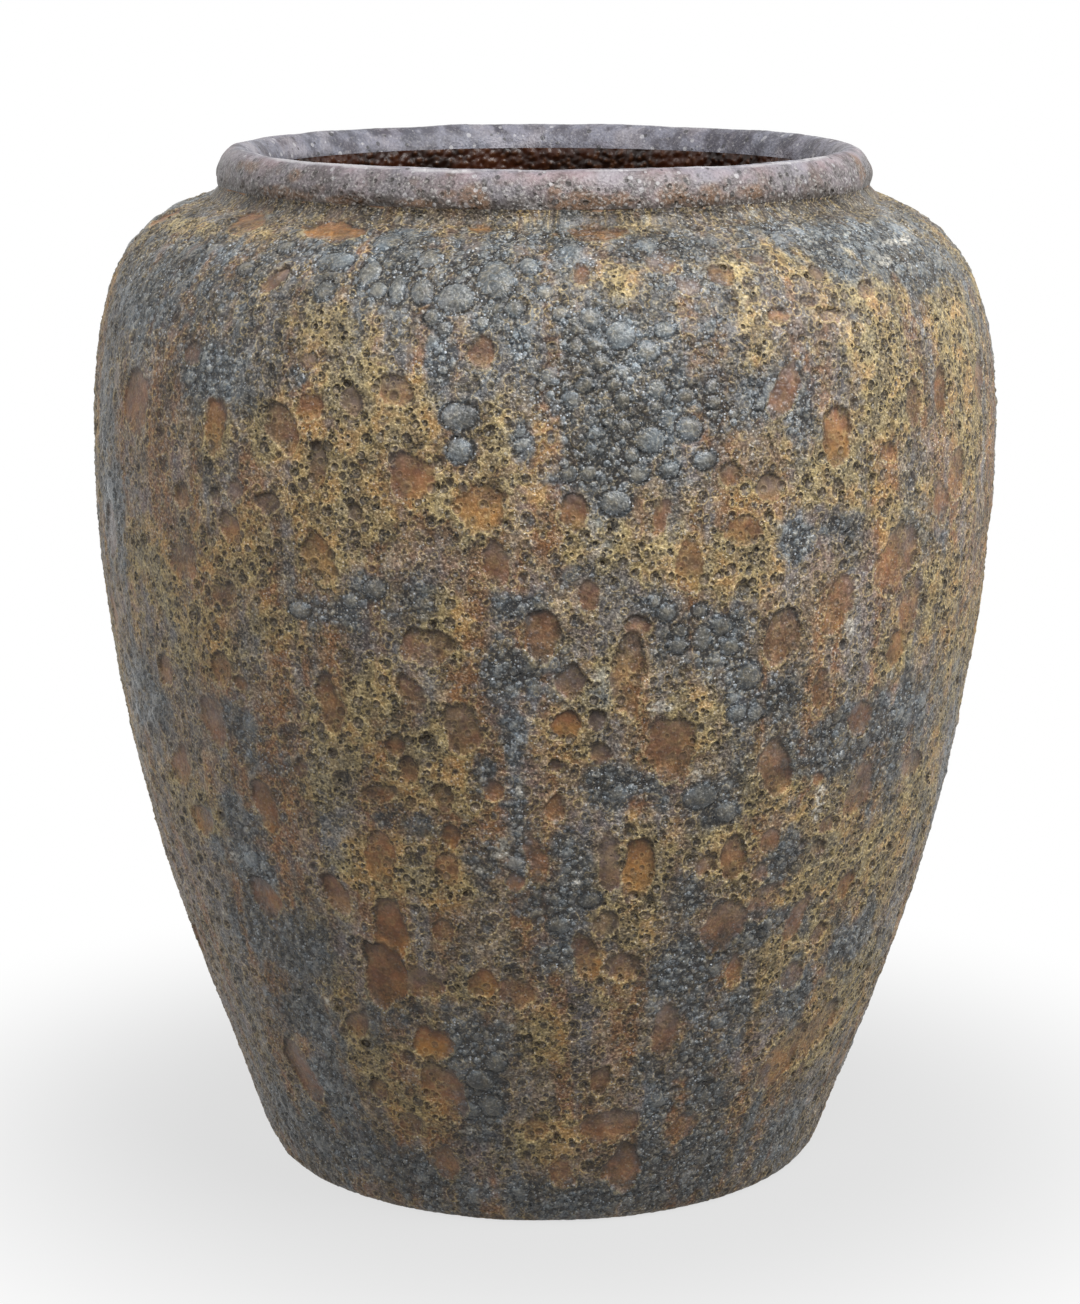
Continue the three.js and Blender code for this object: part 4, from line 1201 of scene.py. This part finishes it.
for name, value, low, high in (
    ("mottle", pattern["mottle"], 0.38, 0.62),
    ("cloud", pattern["cloud"], 0.42, 0.58),
    ("smear", pattern["smear"], 0.52, 0.64),
    ("stain", pattern["stain"], 0.54, 0.62),
    ("blue", pattern["blue"], 0.46, 0.58),
    ("crest", field["rim_up"], 0.42, 0.62),
    ("grainy", frayed, 0.75, 0.5),
    ("lower", frayed, 0.44, 0.28),
    ("pale_grit", pattern["grit"], 0.54, 0.68),
    ("dark_grit", pattern["grit"], 0.46, 0.32),
):
    inputs = {"Value": value, "From Min": low, "From Max": high}
    mask[name] = add(tree, "MapRange", inputs, interpolation_type="SMOOTHSTEP").outputs["Result"]
ball_discs(tree, place, mask, (
    ("pit", 6.0, 0.15, 0.45, 0.6, mask["grainy"]),
    ("bead", 4.6, 0.20, 0.50, 0.8, mask["grainy"]),
    ("speck", 8.0, 0.10, 0.34, 0.5, 1.0),
    ("chip", 7.0, 0.10, 0.34, 0.4, 1.0),
))
for name, one, other in (
    ("grain_stain", mask["grainy"], mask["stain"]),
    ("grain_pale", mask["grainy"], mask["pale_grit"]),
    ("grain_dark", mask["grainy"], mask["dark_grit"]),
):
    mask[name] = add(tree, "Math", {0: one, 1: other}, operation="MULTIPLY").outputs[0]
tint = {}
for name, blend, first, second in (
    ("mauve", mask["mottle"], linear("605458"), linear("968b91")),
    ("crest", mask["mottle"], linear("3a3c48"), linear("747784")),
    ("bead", mask["bead_tone"], linear("403d3b"), linear("b3b0ac")),
):
    tint[name] = add(tree, "Mix", {0: blend, 6: first, 7: second}, data_type="RGBA").outputs[2]
colour = layered(tree, tint["mauve"], (
    (mask["cloud"], 0.5, linear("8d7371")),
    (mask["blue"], 0.45, linear("84868f")),
    (mask["crest"], 0.75, tint["crest"]),
    (mask["smear"], 0.4, linear("aaa4a9")),
    (mask["grainy"], 0.5, linear("6b6664")),
    (mask["grain_stain"], 0.55, linear("685346")),
    (mask["lower"], 0.75, linear("4d443c")),
    (field["rim_rust"], 0.75, linear("78593e")),
    # painted shade in the crease under the rim
    (field["crease"], 0.7, linear("352a22")),
    # painted shade in the dips of the relief
    (field["painted_dip_shade"], 0.7, linear("231e1b")),
    (mask["bead_edge"], 0.5, linear("2a2623")),
    (mask["bead"], 0.5, tint["bead"]),
    (mask["pit"], 0.75, linear("28221e")),
    (mask["speck"], 0.75, linear("2a2829")),
    (mask["chip"], 0.5, linear("c9c7c8")),
    (mask["pale_grit"], 0.2, linear("c2bdb8")),
    (mask["dark_grit"], 0.3, linear("37322e")),
    (mask["grain_pale"], 0.25, linear("c4c0b9")),
    (mask["grain_dark"], 0.45, linear("2d2824")),
    # pale scuffs of wear, which also paint a highlight along the front crest
    (field["rim_scuff_and_highlight"], 0.55, linear("c6c3c4")),
))
tree.links.new(colour, shader.inputs["Base Color"])
shader.inputs["IOR"].default_value = 1.5
shader.inputs["Roughness"].default_value = 0.46
crumbs = pattern["grit"]
for name, share in (("pit_dome", -1.0), ("bead_dome", 0.8)):
    crumbs = add(tree, "Math", {0: mask[name], 1: share, 2: crumbs}, operation="MULTIPLY_ADD").outputs[0]
bump = add(tree, "Bump", {"Height": crumbs, "Distance": 1.2 * MM, "Strength": 0.8})
tree.links.new(bump.outputs["Normal"], shader.inputs["Normal"])
rim_ring.data.materials.append(rim_wash)
print("rim wash has", len(tree.nodes), "nodes")

# %% [markdown]
# ## The liner's glaze and the bare clay
# The liner is a dark honey-brown gloss over lumpy clay, paler where it ran thin on the lumps. The clay
# shows only under the foot and in the drain hole. It is a buff stoneware with iron specks.

# %% Mix the liner's glaze
# A glassy iron-brown glaze: near black where it pooled, rust where it is thin, and shiny.
honey, tree, shader, place = blank("glossy_brown_liner_glaze")
lump = add(tree, "TexVoronoi", {"Vector": place, "Scale": 1 / (5 * MM)}, feature="SMOOTH_F1")
mottle = add(tree, "TexNoise", {"Vector": place, "Scale": 1 / (22 * MM), "Detail": 4}).outputs["Fac"]
inputs = {"Value": mottle, "From Min": 0.38, "From Max": 0.62}
thin = add(tree, "MapRange", inputs, interpolation_type="SMOOTHSTEP").outputs["Result"]
inputs = {"Value": lump.outputs["Distance"], "From Min": 0.45, "From Max": 0.1}
crown_mask = add(tree, "MapRange", inputs, interpolation_type="SMOOTHSTEP").outputs["Result"]
colour = add(tree, "Mix", {0: thin, 6: linear("190c06"), 7: linear("381c0f")}, data_type="RGBA").outputs[2]
crown_mask = add(tree, "Math", {0: crown_mask, 1: 0.5}, operation="MULTIPLY").outputs[0]
colour = add(tree, "Mix", {0: crown_mask, 6: colour, 7: linear("573620")}, data_type="RGBA").outputs[2]
tree.links.new(colour, shader.inputs["Base Color"])
shader.inputs["IOR"].default_value = 1.52
shader.inputs["Roughness"].default_value = 0.32
shader.inputs["Specular IOR Level"].default_value = 0.27
inputs = {"Height": lump.outputs["Distance"], "Distance": 2.5 * MM, "Strength": 0.8}
bump = add(tree, "Bump", inputs, invert=True)
tree.links.new(bump.outputs["Normal"], shader.inputs["Normal"])
liner_ring.data.materials.append(honey)
print("liner glaze has", len(tree.nodes), "nodes")

# %% Mix the bare clay
# Buff stoneware fired bare: matt and sandy, with dark iron specks about 1 mm across.
clay, tree, shader, place = blank("bare_buff_stoneware")
sand = add(tree, "TexNoise", {"Vector": place, "Scale": 1 / (1.5 * MM), "Detail": 3}).outputs["Fac"]
tone = add(tree, "TexNoise", {"Vector": place, "Scale": 1 / (40 * MM), "Detail": 3}).outputs["Fac"]
speck = add(tree, "TexVoronoi", {"Vector": place, "Scale": 1 / (5 * MM)}).outputs["Distance"]
inputs = {"Value": speck, "From Min": 0.16, "From Max": 0.08}
speck = add(tree, "MapRange", inputs).outputs["Result"]
colour = add(tree, "Mix", {0: tone, 6: linear("8a6c54"), 7: linear("b08f74")}, data_type="RGBA").outputs[2]
colour = add(tree, "Mix", {0: speck, 6: colour, 7: linear("4a3526")}, data_type="RGBA").outputs[2]
tree.links.new(colour, shader.inputs["Base Color"])
shader.inputs["IOR"].default_value = 1.5
shader.inputs["Roughness"].default_value = 0.88
bump = add(tree, "Bump", {"Height": sand, "Distance": 0.5 * MM, "Strength": 0.5})
tree.links.new(bump.outputs["Normal"], shader.inputs["Normal"])
CLAY_NODES = [
    "floor_slab", "cove_coil", "foot_course", "lower_course",
    "belly_course", "shoulder_course", "neck_ring", "rim_roll",
]
for node in CLAY_NODES:
    piece = bpy.data.objects[node]
    piece.data.materials.clear()
    piece.data.materials.append(clay)
print("clay on", len(CLAY_NODES), "nodes")

# %% [markdown]
# ## Studio
# The photograph has a white ground and soft light from above. A wide pale floor carries the jar's shadow,
# and turns white further out. The floor and the sky are white only to the eye and in reflections: the
# light that they throw on the jar is dimmer, so that its foot stays dark as in the photograph.


# %% Lay the floor
def seen(tree):
    """1 for rays that show a surface to the eye, also in a reflection or through glass, and 0 for light."""
    path = add(tree, "LightPath", {}).outputs
    ray = path["Is Camera Ray"]
    for kind in ("Is Glossy Ray", "Is Transmission Ray"):
        ray = add(tree, "Math", {0: ray, 1: path[kind]}, operation="MAXIMUM").outputs[0]
    return ray


FLOOR_REACH = 30
floor_grid = bmesh.new()
bmesh.ops.create_grid(floor_grid, x_segments=1, y_segments=1, size=FLOOR_REACH)
mesh = bpy.data.meshes.new("floor")
floor_grid.to_mesh(mesh)
floor_grid.free()
floor = bpy.data.objects.new("floor", mesh)
scene.collection.objects.link(floor)
# Matt paper: white to the eye away from the jar, but it gives back little light.
paper, tree, shader, place = blank("pale_paper_floor")
shader.inputs["Base Color"].default_value = (0.2, 0.2, 0.2, 1)
shader.inputs["Roughness"].default_value = 0.9
shader.inputs["Specular IOR Level"].default_value = 0.0
away = add(tree, "VectorMath", {0: place}, operation="LENGTH").outputs["Value"]
inputs = {"Value": away, "From Min": 0.25, "From Max": 0.7, "To Min": 0.7, "To Max": 1.0}
bright = add(tree, "MapRange", inputs, interpolation_type="SMOOTHSTEP").outputs["Result"]
white = add(tree, "Emission", {"Color": (1, 1, 1, 1), "Strength": 1.0}).outputs[0]
cover = add(tree, "Math", {0: seen(tree), 1: bright}, operation="MULTIPLY").outputs[0]
ground = add(tree, "MixShader", {0: cover, 1: shader.outputs[0], 2: white}).outputs[0]
tree.links.new(ground, tree.nodes["Material Output"].inputs["Surface"])
floor.data.materials.append(paper)
print("floor laid")

# %% Set the sky and the lamps
world = bpy.data.worlds.new("studio")
scene.world = world
world.use_nodes = True
tree = world.node_tree
sky = tree.nodes["Background"]
sky.inputs["Color"].default_value = (0.95, 0.97, 1.0, 1)
sky.inputs["Strength"].default_value = 0.42
white = add(tree, "Background", {"Color": (1, 1, 1, 1), "Strength": 1.0})
both = add(tree, "MixShader", {0: seen(tree), 1: sky.outputs[0], 2: white.outputs[0]})
tree.links.new(both.outputs[0], tree.nodes["World Output"].inputs["Surface"])
LAMP_TARGET = mathutils.Vector((0, 0, 0.5))
for name, place, size, power in (
    ("top_softbox", (0.9, -1.5, 2.7), 1.2, 64),
    ("right_softbox", (2.4, -0.9, 2.1), 1.0, 26),
    ("left_softbox", (-2.2, -1.6, 2.4), 1.0, 20),
):
    lamp = bpy.data.lights.new(name, "AREA")
    lamp.shape = "SQUARE"
    lamp.size = size
    lamp.energy = power
    holder = bpy.data.objects.new(name, lamp)
    holder.location = place
    aim = LAMP_TARGET - holder.location
    holder.rotation_euler = aim.to_track_quat("-Z", "Y").to_euler()
    scene.collection.objects.link(holder)
print("studio is lit")
